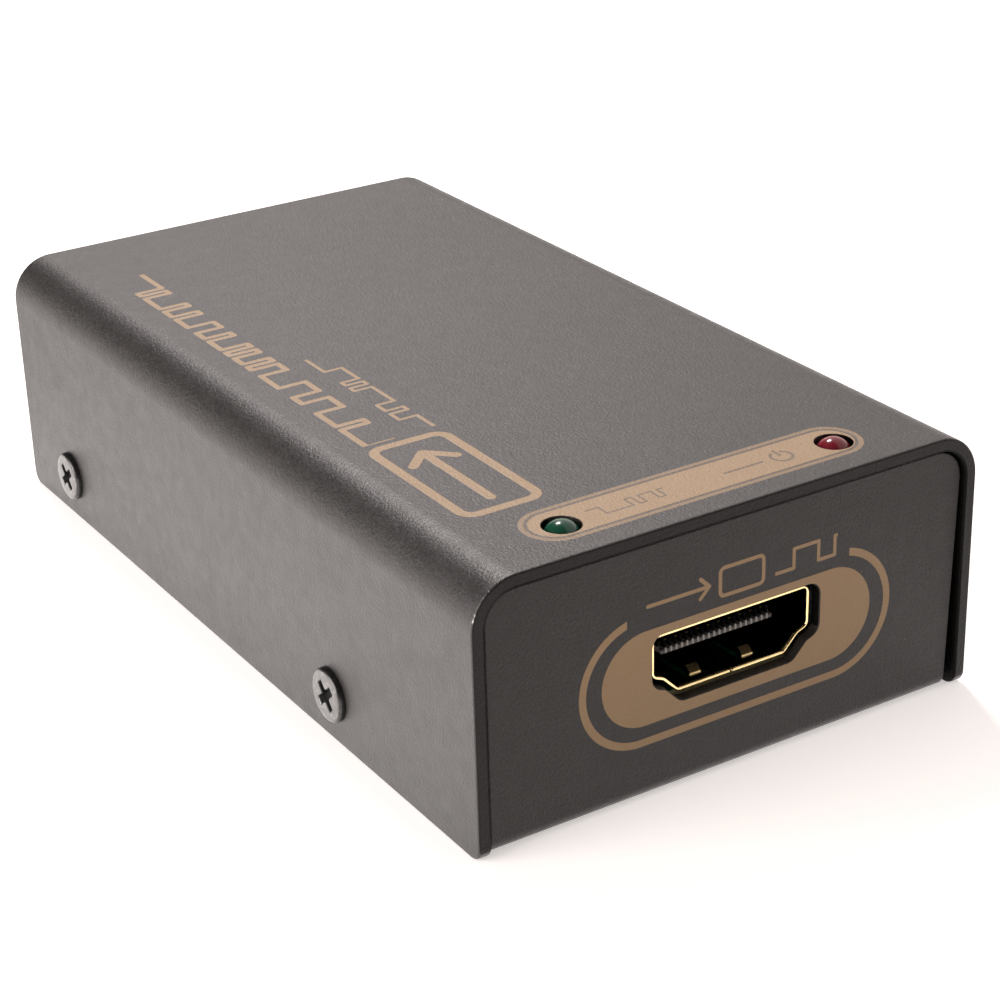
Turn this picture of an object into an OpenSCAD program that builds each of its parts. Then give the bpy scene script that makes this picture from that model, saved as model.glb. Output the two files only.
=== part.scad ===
// Receiver box that turns a network cable run back into digital video.
// Lengths are in millimetres. The case stands on z = 0 and is centred on x and y.
// The video socket faces -y, the network and power sockets face +y, and +z is up.

/* [Case] */
// Width across the cover
case_w = 46; // [44:0.5:60]
// Length of the cover
case_l = 81.4; // [78:0.2:120]
// Space over the network socket, under the cover
head_room = 2.2; // [1.4:0.1:12]
// Thickness of the cover sheet
cover_t = 1.1; // [0.8:0.1:1.4]
// Outer radius of the cover's two long bends
bend_r = 3.8; // [2.6:0.1:5]
// Radius on the lower corners of the cover's side walls
cover_foot_r = 1.2; // [0.5:0.1:2]
// Thickness of the chassis sheet
chassis_t = 1; // [0.8:0.1:1.2]
// Inner radius of the chassis bends
chassis_inner_r = 0.3; // [0.2:0.1:0.6]
// How far each end panel lies inside the end of the cover
panel_recess = 0.4; // [0.3:0.1:1]
// Gap between the chassis and the inside of the cover
side_gap = 0.15; // [0.1:0.05:0.25]
// How far the front panel's right edge leans in at its foot
panel_lean = 0.6; // [0:0.1:1]

/* [Cover screws] */
// Diameter of the screw shanks
screw_d = 2.5; // [2:0.1:3]
// Diameter of the screw heads
screw_head_d = 4.5; // [4.2:0.1:5.5]
// Height of the screw heads
screw_head_h = 0.6; // [0.5:0.1:0.9]
// Length of the screws under their heads
screw_len = 5; // [3.5:0.5:5.5]
// Distance of the front screws from the front end of the cover
front_screw_in = 21.5; // [17:0.5:28]
// Distance of the rear screws from the rear end of the cover
rear_screw_in = 9.8; // [7.5:0.1:13]
// Length of the tabs that the cover is screwed to
tab_l = 9; // [7:0.5:10]

/* [Board] */
// Thickness of the circuit board
board_t = 1.6; // [1:0.2:2]
// Height of the standoffs that carry the board
standoff_h = 5; // [4.4:0.2:5.8]
// Diameter of the standoffs
standoff_d = 5; // [4.5:0.1:6]
// Gap between the board and the side tabs
board_side_gap = 0.75; // [0.3:0.05:1.5]
// Gap between the board and the end panels
board_end_gap = 0.5; // [0.3:0.1:1]
// Distance of the front standoffs from the front end of the cover
front_standoff_in = 11.2; // [10:0.2:13]

/* [Video socket] */
// Width over the socket's shell
shell_w = 14.8; // [14.4:0.1:15.2]
// Height over the socket's shell
shell_h = 5.35; // [5.2:0.05:5.6]
// Thickness of the shell
shell_t = 0.3; // [0.3:0.05:0.45]
// Length of the shell from its mouth to its back
shell_len = 11.2; // [10.4:0.1:12.4]
// Distance of the shell's mouth behind the face of the front panel
shell_setback = 0.7; // [0.4:0.1:1.2]
// Gap between the shell and its cut-out in the front panel
port_clear = 0.35; // [0.2:0.05:0.5]
// Offset of the socket from the middle of the case
port_x = 0.3; // [-3:0.1:3]

/* [Network socket] */
// Offset of the socket from the middle of the case
net_x = -9; // [-9.6:0.1:-7]
// Width of the socket's mouth
net_mouth_w = 11.9; // [11.7:0.1:12.1]
// Height of the socket's mouth above the latch
net_mouth_h = 6.8; // [6.6:0.1:7]
// Depth of the socket
net_mouth_d = 13.5; // [13:0.1:14]
// Distance between the contact wires
wire_pitch = 1.02; // [0.95:0.01:1.05]

/* [Power socket] */
// Offset of the socket from the middle of the case
power_x = 10; // [8.5:0.1:12]
// Diameter of the socket's bore
power_bore_d = 6.4; // [6.2:0.1:6.6]
// Diameter of the centre pin
power_pin_d = 2.1; // [1.9:0.1:2.5]

/* [Indicator lights] */
// Distance between the two lights
led_pitch = 24.9; // [22:0.1:30]
// Distance of the lights from the front end of the cover
led_in = 4.6; // [4.2:0.1:6]
// Diameter of the lights' domes
led_d = 2.9; // [2.7:0.1:3.3]
// Gap around each dome in the cover
led_clear = 0.05; // [0.05:0.05:0.3]

/* [Hidden] */
$fn = 64;

// One overrun for every cut, and the clearances that the fits share
cut = 0.5;
press_clear = 0.02;
thread_clear = 0.05;
screw_clear = 0.2;
pin_clear = 0.15;

// Planes of the case
front_y = -case_l / 2;
rear_y = case_l / 2;
panel_y = front_y + panel_recess;
rear_panel_y = rear_y - panel_recess;
inner_w = case_w - 2 * cover_t;
chassis_w = inner_w - 2 * side_gap;
chassis_l = rear_panel_y - panel_y;
chassis_bend_r = chassis_inner_r + chassis_t;
panel_corner_r = bend_r - cover_t - side_gap;
relief = 0.6;

// Planes of the board
board_w = chassis_w - 2 * chassis_t - 2 * board_side_gap;
board_l = chassis_l - 2 * chassis_t - 2 * board_end_gap;
board_z = chassis_t + standoff_h;
board_top = board_z + board_t;
pin_stub = 1;
pin_end_z = board_z - pin_stub;

// The tallest part on the board, the network socket, sets the height
net_floor = 0.8;
notch_h = 0.6;
latch_h = 1.5;
net_mouth_z = net_floor + notch_h + latch_h;
wire_rise = 0.6;
wire_root_z = net_mouth_z + net_mouth_h + wire_rise;
tail_rise = 0.45;
tail_z = wire_root_z + tail_rise;
tail_t = 0.3;
net_roof = 0.15;
net_h = tail_z + tail_t + net_roof;
shield_t = 0.25;
shield_fit = 0.05;
ceiling_z = board_top + net_h + shield_fit + shield_t + head_room;
case_h = ceiling_z + cover_t;
panel_h = ceiling_z - side_gap;

// Cover screws stand a fixed share of the way up the space under the board
screw_rise_share = 0.62;
screw_z = chassis_t + standoff_h * screw_rise_share;
tab_margin = 2.4;
tab_h = screw_z + tab_margin;
screw_edge_r = 0.35;
recess_w = 2.6;
recess_t = 0.7;
recess_d = 0.45;
recess_turn = 40;

// Board fixings
board_hole_inset = 2.8;
standoff_stem_d = 4.2;
board_screw_d = 2.5;
board_screw_head_d = 4.5;
board_screw_head_h = 1.6;
board_screw_len = 5;
board_hole_clear = 0.15;
standoff_margin = 0.8;

// Video socket: insets of the stepped lower corners, and corner radii
shell_lift = 0.2;
shell_front_y = panel_y + shell_setback;
shell_z = board_top + shell_lift;
knee_z = 1.75;
hollow_in = 1.05;
hollow_z = 1.35;
foot_in = 2.35;
corner_r = 0.7;
hollow_r = 0.9;
arc_steps = 6;
insulator_clear = 0.05;
tongue_w = 10.6;
tongue_t = 0.9;
tongue_mid_z = 2.8;
tongue_tip_in = 1.85;
comb_d = 0.45;
comb_lip = 0.35;
block_in = 6.8;
block_overhang = 0.3;
contact_count = 19;
contact_pitch = 0.5;
contact_w = 0.3;
contact_t = 0.2;
contact_foot = 1.2;
finger_x = 2.45;
finger_w = 1.5;
finger_slit = 0.25;
finger_root_in = 6.2;
finger_bump_in = 2.3;
finger_tip_in = 1.5;
finger_rise = 0.25;
finger_curl = 0.2;
finger_lap = 0.6;
leg_w = 1;
leg_front_in = 3.2;
leg_rear_in = 9;
leg_lap = 0.8;

// Network socket, measured inwards from its front face and up from the board
jack_proud = 0.2;
jack_clear = 0.3;
net_w = 15.6;
net_d = 17.5;
shield_lip = 0.4;
shield_leg_w = 1.6;
shield_leg_in = 8;
notch_w = 3.6;
latch_w = 6.2;
peg_d = 3.2;
peg_x = 5.7;
peg_in = 9.5;
wire_count = 8;
wire_w = 0.4;
wire_t = 0.35;
wire_len = 10.2;
wire_root_r = 0.25;
wire_root_in = 2.2;
wire_dip = 12.5;
wire_slot_w = 0.62;
wire_slot_start = 1.6;
wire_slot_end = 12.9;
tail_near_in = 14.2;
tail_far_in = 15.6;
tail_hole_d = 0.9;
net_front_y = rear_panel_y + jack_proud;
net_back_y = net_front_y - net_d - shield_t;
front_standoff_y = front_y + front_standoff_in;
rear_standoff_y = net_back_y - standoff_d / 2 - standoff_margin;

// Power socket, measured the same way
power_w = 9;
power_h = 11;
power_d = 13.2;
power_collar_d = 3.4;
power_barrel_trim = 0.2;
power_axis_z = 6.5;
power_bore_l = 9.6;
pin_tip_in = 1.2;
pin_tip_l = 0.8;
pin_tip_d = 1.2;
pin_root_wall = 0.25;
pin_root_d = power_pin_d + 2 * pin_root_wall;
pin_plate_w = 3;
pin_plate_t = 0.4;
pin_plate_top = 1.6;
spring_w = 2;
spring_t = 0.3;
spring_root_r = 0.3;
spring_root_in = 11.3;
spring_root_z = 2.2;
spring_bump_in = 5;
spring_bite = 0.45;
spring_tip_in = 3.4;
spring_tip_drop = 0.7;
spring_slot_w = 2.6;
spring_slot_start = 2.6;
spring_slot_end = 12.2;
spring_slot_z = 1.4;
spring_terminal_gap = 0.15;
switch_x = 3.6;
switch_in = 6.4;
switch_w = 2;
switch_h = 2.6;
terminal_t = 0.3;
power_front_y = rear_panel_y + jack_proud;

// Indicator lights
led_y = front_y + led_in;
led_rise = 0.35;
led_len = 5.3;
led_flange_d = 3.8;
led_flange_t = 1;
led_tip_z = case_h + led_rise;
led_base_z = led_tip_z - led_len;
lead_pitch = 2.54;
lead_t = 0.5;
lead_hole_d = 0.9;
spacer_d = 4.4;
lead_channel = 0.8;

ceramic_in = 2;
resistor_in = 4.4;
receiver_in = 12.7;
equaliser_in = 12.2;
left_can_in = 3.5;
crystal_in = 1.5;
part_gap = 0.6;
receiver_size = 10;
receiver_h = 1.4;
receiver_pins = 12;
receiver_pin_pitch = 0.8;
receiver_pin_w = 0.35;
receiver_pin_l = 1;
receiver_pin_t = 0.3;
equaliser_size = 5;
equaliser_h = 0.9;
memory_l = 4.9;
memory_w = 3.9;
memory_h = 1.5;
memory_pins = 4;
memory_pin_pitch = 1.27;
memory_pin_w = 0.4;
memory_pin_l = 1.05;
choke_count = 4;
choke_pitch = 3.8;
choke_l = 3.2;
choke_w = 2.5;
choke_h = 2;
crystal_l = 11.2;
crystal_w = 4.6;
crystal_h = 3.4;
crystal_rim = 0.35;
crystal_rim_t = 0.5;
inductor_d = 6;
inductor_h = 3;
inductor_waist_d = 4.6;
inductor_flange_t = 0.6;
regulator_l = 6.5;
regulator_w = 3.5;
regulator_h = 1.6;
regulator_lead_l = 1.7;
regulator_lead_w = 0.7;
regulator_pitch = 2.3;
regulator_tab_w = 3;
regulator_lead_t = 0.3;
can_d = 6.3;
can_h = 5.8;
can_base = 6.6;
can_base_h = 1;
can_groove_d = 5.9;
can_groove_h = 0.4;
can_groove_z = 1.6;
ceramic_l = 1.6;
ceramic_w = 0.8;
ceramic_h = 0.8;
ceramic_count = 5;
ceramic_pitch = 2.4;
resistor_l = 0.8;
resistor_w = 1.6;
resistor_h = 0.5;
resistor_count = 6;
resistor_pitch = 2;

// Chips and rows along the middle of the board: the first ones follow the video socket,
// the last ones the network socket
video_back_y = shell_front_y + shell_len + block_overhang + contact_t + contact_foot;
ceramic_front_y = video_back_y + ceramic_in;
resistor_y = video_back_y + resistor_in;
receiver_y = video_back_y + receiver_in;
equaliser_share = 0.1;
equaliser_y = net_back_y - equaliser_in;
receiver_edge_y = receiver_y + receiver_size / 2 + receiver_pin_l;
ceramic_mid_y = (receiver_edge_y + equaliser_y - equaliser_size / 2) / 2;

// Left column
left_share = -0.31;
memory_y = receiver_y;
left_can_y = equaliser_y - left_can_in;
chokes_y = rear_standoff_y - board_screw_head_d / 2 - part_gap - choke_l / 2;

// Right column, each part behind the one before
right_share = 0.29;
crystal_y = receiver_y - crystal_in;
right_can_y = crystal_y + crystal_l / 2 + crystal_rim + part_gap + can_base / 2;
inductor_y = right_can_y + can_base / 2 + part_gap + inductor_d / 2;
regulator_y = inductor_y + inductor_d / 2 + part_gap + regulator_w / 2 + regulator_lead_l;

// Unit vector along v
function unit(v) = v / norm(v);

// Item i of a closed list, counted round past either end
function turn(list, i) = list[(i + len(list)) % len(list)];

// Left-hand normal of the edge from a to b
function normal(a, b) = unit([a[1] - b[1], b[0] - a[0]]);

// Corners of a clockwise outline whose edges have all moved out by g
function moved_out(p, g) = [
    for (i = [0:len(p) - 1])
        let (m = normal(turn(p, i - 1), p[i]), n = normal(p[i], turn(p, i + 1)))
        p[i] + g * (m + n) / (1 + m * n)
];

// Whether corner i of a clockwise outline points outwards
function points_out(p, i) =
    let (u = p[i] - turn(p, i - 1), w = turn(p, i + 1) - p[i])
    u[0] * w[1] - u[1] * w[0] < 0;

// Points of a closed outline with corner i rounded to the radius r[i]
function rounded(p, r) = [
    for (i = [0:len(p) - 1])
        let (
            u = unit(turn(p, i - 1) - p[i]),
            w = unit(turn(p, i + 1) - p[i]),
            half = acos(u * w) / 2,
            centre = p[i] + unit(u + w) * r[i] / sin(half),
            from = p[i] + u * r[i] / tan(half) - centre,
            to = p[i] + w * r[i] / tan(half) - centre
        )
        for (k = [0:arc_steps])
            centre + r[i] * unit(from * (arc_steps - k) + to * k)
];

// Outline of the video shell, wide side up, with its lower corners stepped in
half_shell = shell_w / 2;
shell_corners = [
    [-half_shell, shell_h],
    [half_shell, shell_h],
    [half_shell, knee_z],
    [half_shell - hollow_in, hollow_z],
    [half_shell - foot_in, 0],
    [foot_in - half_shell, 0],
    [hollow_in - half_shell, hollow_z],
    [-half_shell, knee_z]
];

// The same outline grown by g, as a flat shape
module video_outline(g) {
    p = moved_out(shell_corners, g);
    r = [
        for (i = [0:len(p) - 1])
            points_out(p, i) ? corner_r + g : hollow_r - g
    ];
    polygon(rounded(p, r));
}

// Stand a flat shape upright, facing -y, with its depth towards +y
module upright(depth) {
    translate([0, depth, 0])
        rotate([90, 0, 0])
            linear_extrude(depth)
                children();
}

// Turn a flat shape so that its x lies along +y and its y along +z, centred across
module crosswise(width) {
    rotate([90, 0, 90])
        linear_extrude(width, center = true)
            children();
}

// Block centred on x, with its front at y = 0 and its foot at z = 0
module block(w, d, h) {
    translate([-w / 2, 0, 0])
        cube([w, d, h]);
}

// Block centred on x and y, with its foot at z = 0
module slab(w, d, h) {
    translate([-w / 2, -d / 2, 0])
        cube([w, d, h]);
}

// Flat shape with straight sides, a straight foot and two round top corners
module round_top(w, h, r) {
    translate([-w / 2, 0])
        square([w, h - r]);
    translate([r - w / 2, 0])
        square([w - 2 * r, h]);
    for (s = [-1, 1])
        translate([s * (w / 2 - r), h - r])
            circle(r);
}

// The same with its round corners at the foot
module round_foot(w, h, r) {
    translate([0, h])
        mirror([0, 1])
            round_top(w, h, r);
}

// The four places where a cover screw goes in, each looking along +z out of the case
module at_cover_screws() {
    for (side = [-1, 1])
        for (y = [front_y + front_screw_in, rear_y - rear_screw_in])
            translate([side * case_w / 2, y, screw_z])
                rotate([0, side * 90, 0])
                    children();
}

// The four standoffs, on the floor of the chassis
module at_standoffs() {
    for (side = [-1, 1])
        for (y = [front_standoff_y, rear_standoff_y])
            translate([side * (board_w / 2 - board_hole_inset), y, chassis_t])
                children();
}

// A place on the board's upper face: a share of its width across, and y
module on_board(share, y) {
    translate([board_w * share, y, board_top])
        children();
}

// The mouth of the video socket, at the middle of its foot
module at_video_socket() {
    translate([port_x, shell_front_y, shell_z])
        children();
}

// The mouth of the network socket, looking in along +y
module at_network_socket() {
    translate([net_x, net_front_y, board_top])
        rotate(180)
            children();
}

// The mouth of the power socket, looking in along +y
module at_power_socket() {
    translate([power_x, power_front_y, board_top])
        rotate(180)
            children();
}

// The two indicator lights, on the board
module at_lights() {
    for (side = [-1, 1])
        translate([side * led_pitch / 2, led_y, board_top])
            children();
}

// Folded cover: one sheet bent down both sides
module cover_section() {
    difference() {
        round_top(case_w, case_h, bend_r);
        translate([0, -cut])
            round_top(inner_w, ceiling_z + cut, bend_r - cover_t);
    }
}

// What rounds one lower corner of the side walls
module foot_corner() {
    difference() {
        translate([-cut, -cut])
            square(cover_foot_r + cut);
        translate([cover_foot_r, cover_foot_r])
            circle(cover_foot_r);
    }
}

module top_cover() {
    color([0.33, 0.32, 0.31])
        difference() {
            translate([0, front_y, 0])
                upright(case_l)
                    cover_section();
            for (end = [0, 1])
                mirror([0, end, 0])
                    translate([0, front_y, 0])
                        crosswise(case_w + 2 * cut)
                            foot_corner();
            at_lights()
                translate([0, 0, ceiling_z - board_top - cut])
                    cylinder(d = led_d + 2 * led_clear, h = cover_t + 2 * cut);
            at_cover_screws()
                translate([0, 0, -cover_t - side_gap / 2])
                    cylinder(d = screw_d + 2 * screw_clear, h = cover_t + side_gap / 2 + cut);
        }
}

// Outline of an end panel; its right edge leans in towards the foot
module panel_outline(lean) {
    difference() {
        round_top(chassis_w, panel_h, panel_corner_r);
        polygon([
            [chassis_w / 2 - lean, -cut],
            [chassis_w / 2 + cut, -cut],
            [chassis_w / 2 + cut, panel_h - panel_corner_r],
            [chassis_w / 2, panel_h - panel_corner_r]
        ]);
    }
}

// What trims the front end of the chassis to an end panel's outline
module panel_trim(lean) {
    upright(chassis_bend_r + cut)
        difference() {
            translate([-chassis_w / 2 - cut, -cut])
                square([chassis_w + 2 * cut, panel_h + 2 * cut]);
            panel_outline(lean);
        }
}

// Chassis pan before its cut-outs: floor and two end panels from one sheet
module pan() {
    difference() {
        crosswise(chassis_w)
            difference() {
                round_foot(chassis_l, panel_h, chassis_bend_r);
                translate([0, chassis_t])
                    round_foot(chassis_l - 2 * chassis_t, panel_h, chassis_inner_r);
            }
        translate([0, panel_y - cut, 0])
            panel_trim(panel_lean);
        translate([0, rear_panel_y + cut, 0])
            rotate(180)
                panel_trim(0);
    }
}

// The places of the side tabs, at the middle of the floor's width
module at_tabs() {
    for (y = [front_y + front_screw_in, rear_y - rear_screw_in])
        translate([0, y, 0])
            children();
}

// A pair of side tabs bent up from the floor
module tab_pair() {
    translate([0, -tab_l / 2, 0])
        upright(tab_l)
            difference() {
                round_foot(chassis_w, tab_h, chassis_bend_r);
                translate([0, chassis_t])
                    round_foot(chassis_w - 2 * chassis_t, tab_h, chassis_inner_r);
            }
}

// Notches that free the tabs' bends from the floor
module tab_relief() {
    for (s = [-1, 1])
        translate([s * (chassis_w / 2 - chassis_bend_r / 2 + cut / 2), 0, -cut])
            slab(chassis_bend_r + cut, tab_l + 2 * relief, chassis_t + 2 * cut);
}

module base_chassis() {
    color([0.28, 0.27, 0.26])
        difference() {
            union() {
                difference() {
                    pan();
                    at_tabs()
                        tab_relief();
                }
                at_tabs()
                    tab_pair();
            }
            translate([port_x, panel_y - cut, shell_z])
                upright(chassis_t + 2 * cut)
                    video_outline(port_clear);
            translate([net_x, rear_panel_y - chassis_t - cut, board_top - jack_clear])
                block(
                    net_w + 2 * (shield_t + shield_fit + jack_clear),
                    chassis_t + 2 * cut,
                    net_h + shield_t + shield_fit + 2 * jack_clear
                );
            translate([power_x, rear_panel_y - chassis_t - cut, board_top - jack_clear])
                block(power_w + 2 * jack_clear, chassis_t + 2 * cut, power_h + 2 * jack_clear);
            at_cover_screws()
                translate([0, 0, -screw_len - cut])
                    cylinder(d = screw_d + 2 * thread_clear, h = screw_len + cut);
            at_standoffs()
                translate([0, 0, -chassis_t - cut])
                    cylinder(d = standoff_stem_d + 2 * press_clear, h = chassis_t + 2 * cut);
        }
}

// Cross recess sunk into a screw head whose top is at z = 0
module cross_recess() {
    for (a = [0, 90])
        rotate(recess_turn + a)
            translate([0, 0, -recess_d])
                slab(recess_w, recess_t, recess_d + cut);
}

// Screw with a flat round-edged head; the underside of the head is at z = 0
module screw(d, len, head_d, head_h) {
    difference() {
        union() {
            translate([0, 0, -len])
                cylinder(d = d, h = len + head_h / 2);
            rotate_extrude()
                intersection() {
                    square([head_d / 2, head_h]);
                    union() {
                        square([head_d / 2 - screw_edge_r, head_h]);
                        square([head_d / 2, head_h - screw_edge_r]);
                        translate([head_d / 2 - screw_edge_r, head_h - screw_edge_r])
                            circle(screw_edge_r);
                    }
                }
        }
        translate([0, 0, head_h])
            cross_recess();
    }
}

module cover_screws() {
    color([0.12, 0.12, 0.12])
        at_cover_screws()
            screw(screw_d, screw_len, screw_head_d, screw_head_h);
}

module board_standoffs() {
    color([0.75, 0.75, 0.72])
        at_standoffs()
            difference() {
                union() {
                    cylinder(d = standoff_d, h = standoff_h);
                    translate([0, 0, -chassis_t])
                        cylinder(d = standoff_stem_d, h = chassis_t);
                }
                translate([0, 0, -chassis_t - cut])
                    cylinder(
                        d = board_screw_d + 2 * thread_clear,
                        h = chassis_t + standoff_h + 2 * cut
                    );
            }
}

module board_screws() {
    color([0.7, 0.7, 0.7])
        at_standoffs()
            translate([0, 0, standoff_h + board_t])
                screw(board_screw_d, board_screw_len, board_screw_head_d, board_screw_head_h);
}

// Slots and drillings that pass through the board
module board_holes() {
    at_standoffs()
        cylinder(d = board_screw_d + 2 * board_hole_clear, h = standoff_h + board_t + cut);
    at_video_socket()
        shell_legs(pin_clear);
    at_network_socket()
        network_pins_drilling();
    at_power_socket()
        power_terminals(pin_clear);
    at_lights()
        for (s = [-1, 1])
            translate([s * lead_pitch / 2, 0, -board_t - cut])
                cylinder(d = lead_hole_d, h = board_t + 2 * cut);
}

module main_board() {
    color([0.07, 0.3, 0.16])
        difference() {
            translate([0, 0, board_z])
                slab(board_w, board_l, board_t);
            board_holes();
        }
}

// Mounting legs of the video shell, grown by g
module shell_legs(g) {
    for (s = [-1, 1])
        for (y = [leg_front_in, leg_rear_in])
            translate([s * (half_shell - shell_t / 2), y - g, pin_end_z - shell_z])
                block(
                    shell_t + 2 * g,
                    leg_w + 2 * g,
                    shell_z - pin_end_z + knee_z + leg_lap
                );
}

// Spring finger of the video shell, in its lower wall, pointing at the mouth
module finger() {
    crosswise(finger_w)
        polygon([
            [finger_root_in + finger_lap, 0],
            [finger_root_in, 0],
            [finger_bump_in, finger_rise],
            [finger_tip_in, finger_rise - finger_curl],
            [finger_tip_in, shell_t + finger_rise - finger_curl],
            [finger_bump_in, shell_t + finger_rise],
            [finger_root_in, shell_t],
            [finger_root_in + finger_lap, shell_t]
        ]);
}

// Window that frees one finger from the wall
module finger_window() {
    translate([0, finger_tip_in - finger_slit, -cut])
        block(
            finger_w + 2 * finger_slit,
            finger_root_in - finger_tip_in + finger_slit,
            shell_t + 2 * cut
        );
}

// The two fingers of the lower wall and the two of the upper wall
module at_fingers() {
    for (side = [-1, 1])
        for (top = [0, 1])
            translate([side * finger_x, 0, top * shell_h])
                mirror([0, 0, top])
                    children();
}

module video_socket_shell() {
    color([0.8, 0.68, 0.38])
        at_video_socket() {
            difference() {
                upright(shell_len)
                    video_outline(0);
                translate([0, -cut, 0])
                    upright(shell_len + 2 * cut)
                        video_outline(-shell_t);
                at_fingers()
                    finger_window();
            }
            at_fingers()
                finger();
            shell_legs(0);
        }
}

// All the contact strips, alternately on the upper and the lower face of the tongue
module contact_strips() {
    back = shell_len + block_overhang;
    foot = -shell_lift;
    for (i = [0:contact_count - 1]) {
        z = i % 2 == 0 ? tongue_mid_z + tongue_t / 2 : tongue_mid_z - tongue_t / 2 + contact_t;
        translate([(i - (contact_count - 1) / 2) * contact_pitch, 0, 0])
            crosswise(contact_w)
                polygon([
                    [tongue_tip_in + comb_d, z],
                    [back + contact_t, z],
                    [back + contact_t, foot + contact_t],
                    [back + contact_t + contact_foot, foot + contact_t],
                    [back + contact_t + contact_foot, foot],
                    [back, foot],
                    [back, z - contact_t],
                    [tongue_tip_in + comb_d, z - contact_t]
                ]);
    }
}

// Slots that leave a comb of thin ribs at the tongue's tip, in front of the contacts
module comb_slots() {
    for (i = [0:contact_count - 1])
        translate([
            (i - (contact_count - 1) / 2) * contact_pitch,
            tongue_tip_in - cut,
            tongue_mid_z - tongue_t / 2 + comb_lip
        ])
            block(contact_w, comb_d + cut, tongue_t);
}

module video_socket_insulator() {
    color([0.1, 0.1, 0.1])
        at_video_socket()
            difference() {
                union() {
                    translate([0, block_in, 0])
                        upright(shell_len + block_overhang - block_in)
                            video_outline(-shell_t - insulator_clear);
                    translate([0, tongue_tip_in, tongue_mid_z - tongue_t / 2])
                        block(tongue_w, block_in - tongue_tip_in + cut, tongue_t);
                }
                contact_strips();
                comb_slots();
            }
}

module video_socket_contacts() {
    color([0.85, 0.72, 0.35])
        at_video_socket()
            contact_strips();
}

// Distance of contact wire i from the middle of the network socket
function wire_x(i) = (i - (wire_count - 1) / 2) * wire_pitch;

// Depth at which the tail of wire i goes down through the board
function tail_in(i) = i % 2 == 0 ? tail_near_in : tail_far_in;

// Fixed tails of the contact wires: back along the roof and down through the board
module network_tails() {
    for (i = [0:wire_count - 1])
        translate([wire_x(i), 0, 0])
            crosswise(wire_w)
                polygon([
                    [wire_root_in, tail_z],
                    [wire_root_in, tail_z + tail_t],
                    [tail_in(i) + tail_t, tail_z + tail_t],
                    [tail_in(i) + tail_t, pin_end_z - board_top],
                    [tail_in(i), pin_end_z - board_top],
                    [tail_in(i), tail_z]
                ]);
}

// Mounting legs of the shield, grown by g
module shield_legs(g) {
    for (s = [-1, 1])
        translate([
            s * (net_w / 2 + shield_fit + shield_t / 2),
            shield_leg_in - g,
            pin_end_z - board_top
        ])
            block(shield_t + 2 * g, shield_leg_w + 2 * g, board_top - pin_end_z + shield_leg_w);
}

// Pegs under the housing that locate it on the board, grown by g
module network_pegs(g) {
    for (s = [-1, 1])
        translate([s * peg_x, peg_in, -board_t - g])
            cylinder(d = peg_d + 2 * g, h = board_t + g);
}

module network_pins_drilling() {
    for (i = [0:wire_count - 1])
        translate([wire_x(i), tail_in(i) + tail_t / 2, -board_t - cut])
            cylinder(d = tail_hole_d, h = board_t + 2 * cut);
    shield_legs(pin_clear);
    network_pegs(thread_clear);
}

// Opening of the network socket, with its latch way, as a flat shape grown by g
module network_mouth(g) {
    translate([-net_mouth_w / 2 - g, net_mouth_z - g])
        square([net_mouth_w + 2 * g, net_mouth_h + 2 * g]);
    translate([-latch_w / 2 - g, net_mouth_z - latch_h - g])
        square([latch_w + 2 * g, latch_h + 2 * g]);
    translate([-notch_w / 2 - g, net_floor - g])
        square([notch_w + 2 * g, notch_h + 2 * g]);
}

module network_jack_housing() {
    color([0.09, 0.09, 0.09])
        at_network_socket()
            difference() {
                union() {
                    translate([0, shield_t, 0])
                        block(net_w, net_d - shield_t, net_h);
                    network_pegs(0);
                }
                translate([0, shield_t - cut, 0])
                    upright(net_mouth_d + cut - shield_t)
                        network_mouth(0);
                for (i = [0:wire_count - 1])
                    translate([wire_x(i), wire_slot_start, net_mouth_z + net_mouth_h - cut])
                        block(
                            wire_slot_w,
                            wire_slot_end - wire_slot_start,
                            tail_z - net_mouth_z - net_mouth_h + cut
                        );
                network_tails();
            }
}

module network_jack_shield() {
    w = net_w + 2 * shield_fit;
    h = net_h + shield_fit;
    color([0.76, 0.77, 0.78])
        at_network_socket() {
            difference() {
                block(w + 2 * shield_t, net_d + shield_fit + shield_t, h + shield_t);
                translate([0, shield_t, -cut])
                    block(w, net_d + shield_fit - shield_t, h + cut);
                translate([0, -cut, 0])
                    upright(shield_t + 2 * cut)
                        network_mouth(shield_lip);
            }
            shield_legs(0);
        }
}

// One springy contact wire, from its rolled root down into the socket
module contact_wire() {
    translate([0, wire_root_in, wire_root_z]) {
        crosswise(wire_w)
            circle(wire_root_r);
        rotate([-wire_dip, 0, 0])
            translate([0, 0, -wire_t / 2])
                block(wire_w, wire_len, wire_t);
    }
}

module network_jack_wires() {
    color([0.85, 0.72, 0.35])
        at_network_socket()
            for (i = [0:wire_count - 1])
                translate([wire_x(i), 0, 0])
                    contact_wire();
}

module network_jack_tails() {
    color([0.8, 0.7, 0.4])
        at_network_socket()
            network_tails();
}

// Springy blade of the power socket: rolled root, contact bump and turned-down tip
module spring_blade() {
    bump_z = power_axis_z - power_bore_d / 2 + spring_bite;
    crosswise(spring_w)
        polygon([
            [spring_root_in, spring_root_z - spring_t / 2],
            [spring_bump_in, bump_z - spring_t],
            [spring_tip_in, bump_z - spring_t - spring_tip_drop],
            [spring_tip_in, bump_z - spring_tip_drop],
            [spring_bump_in, bump_z],
            [spring_root_in, spring_root_z + spring_t / 2]
        ]);
    translate([0, spring_root_in, spring_root_z])
        crosswise(spring_w)
            circle(spring_root_r);
}

// Terminal under the root of the spring, grown by g
module spring_terminal(g) {
    top = spring_root_z - spring_root_r - spring_terminal_gap;
    translate([0, spring_root_in - terminal_t / 2 - g, pin_end_z - board_top])
        block(spring_w + 2 * g, terminal_t + 2 * g, top + board_top - pin_end_z);
}

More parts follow.
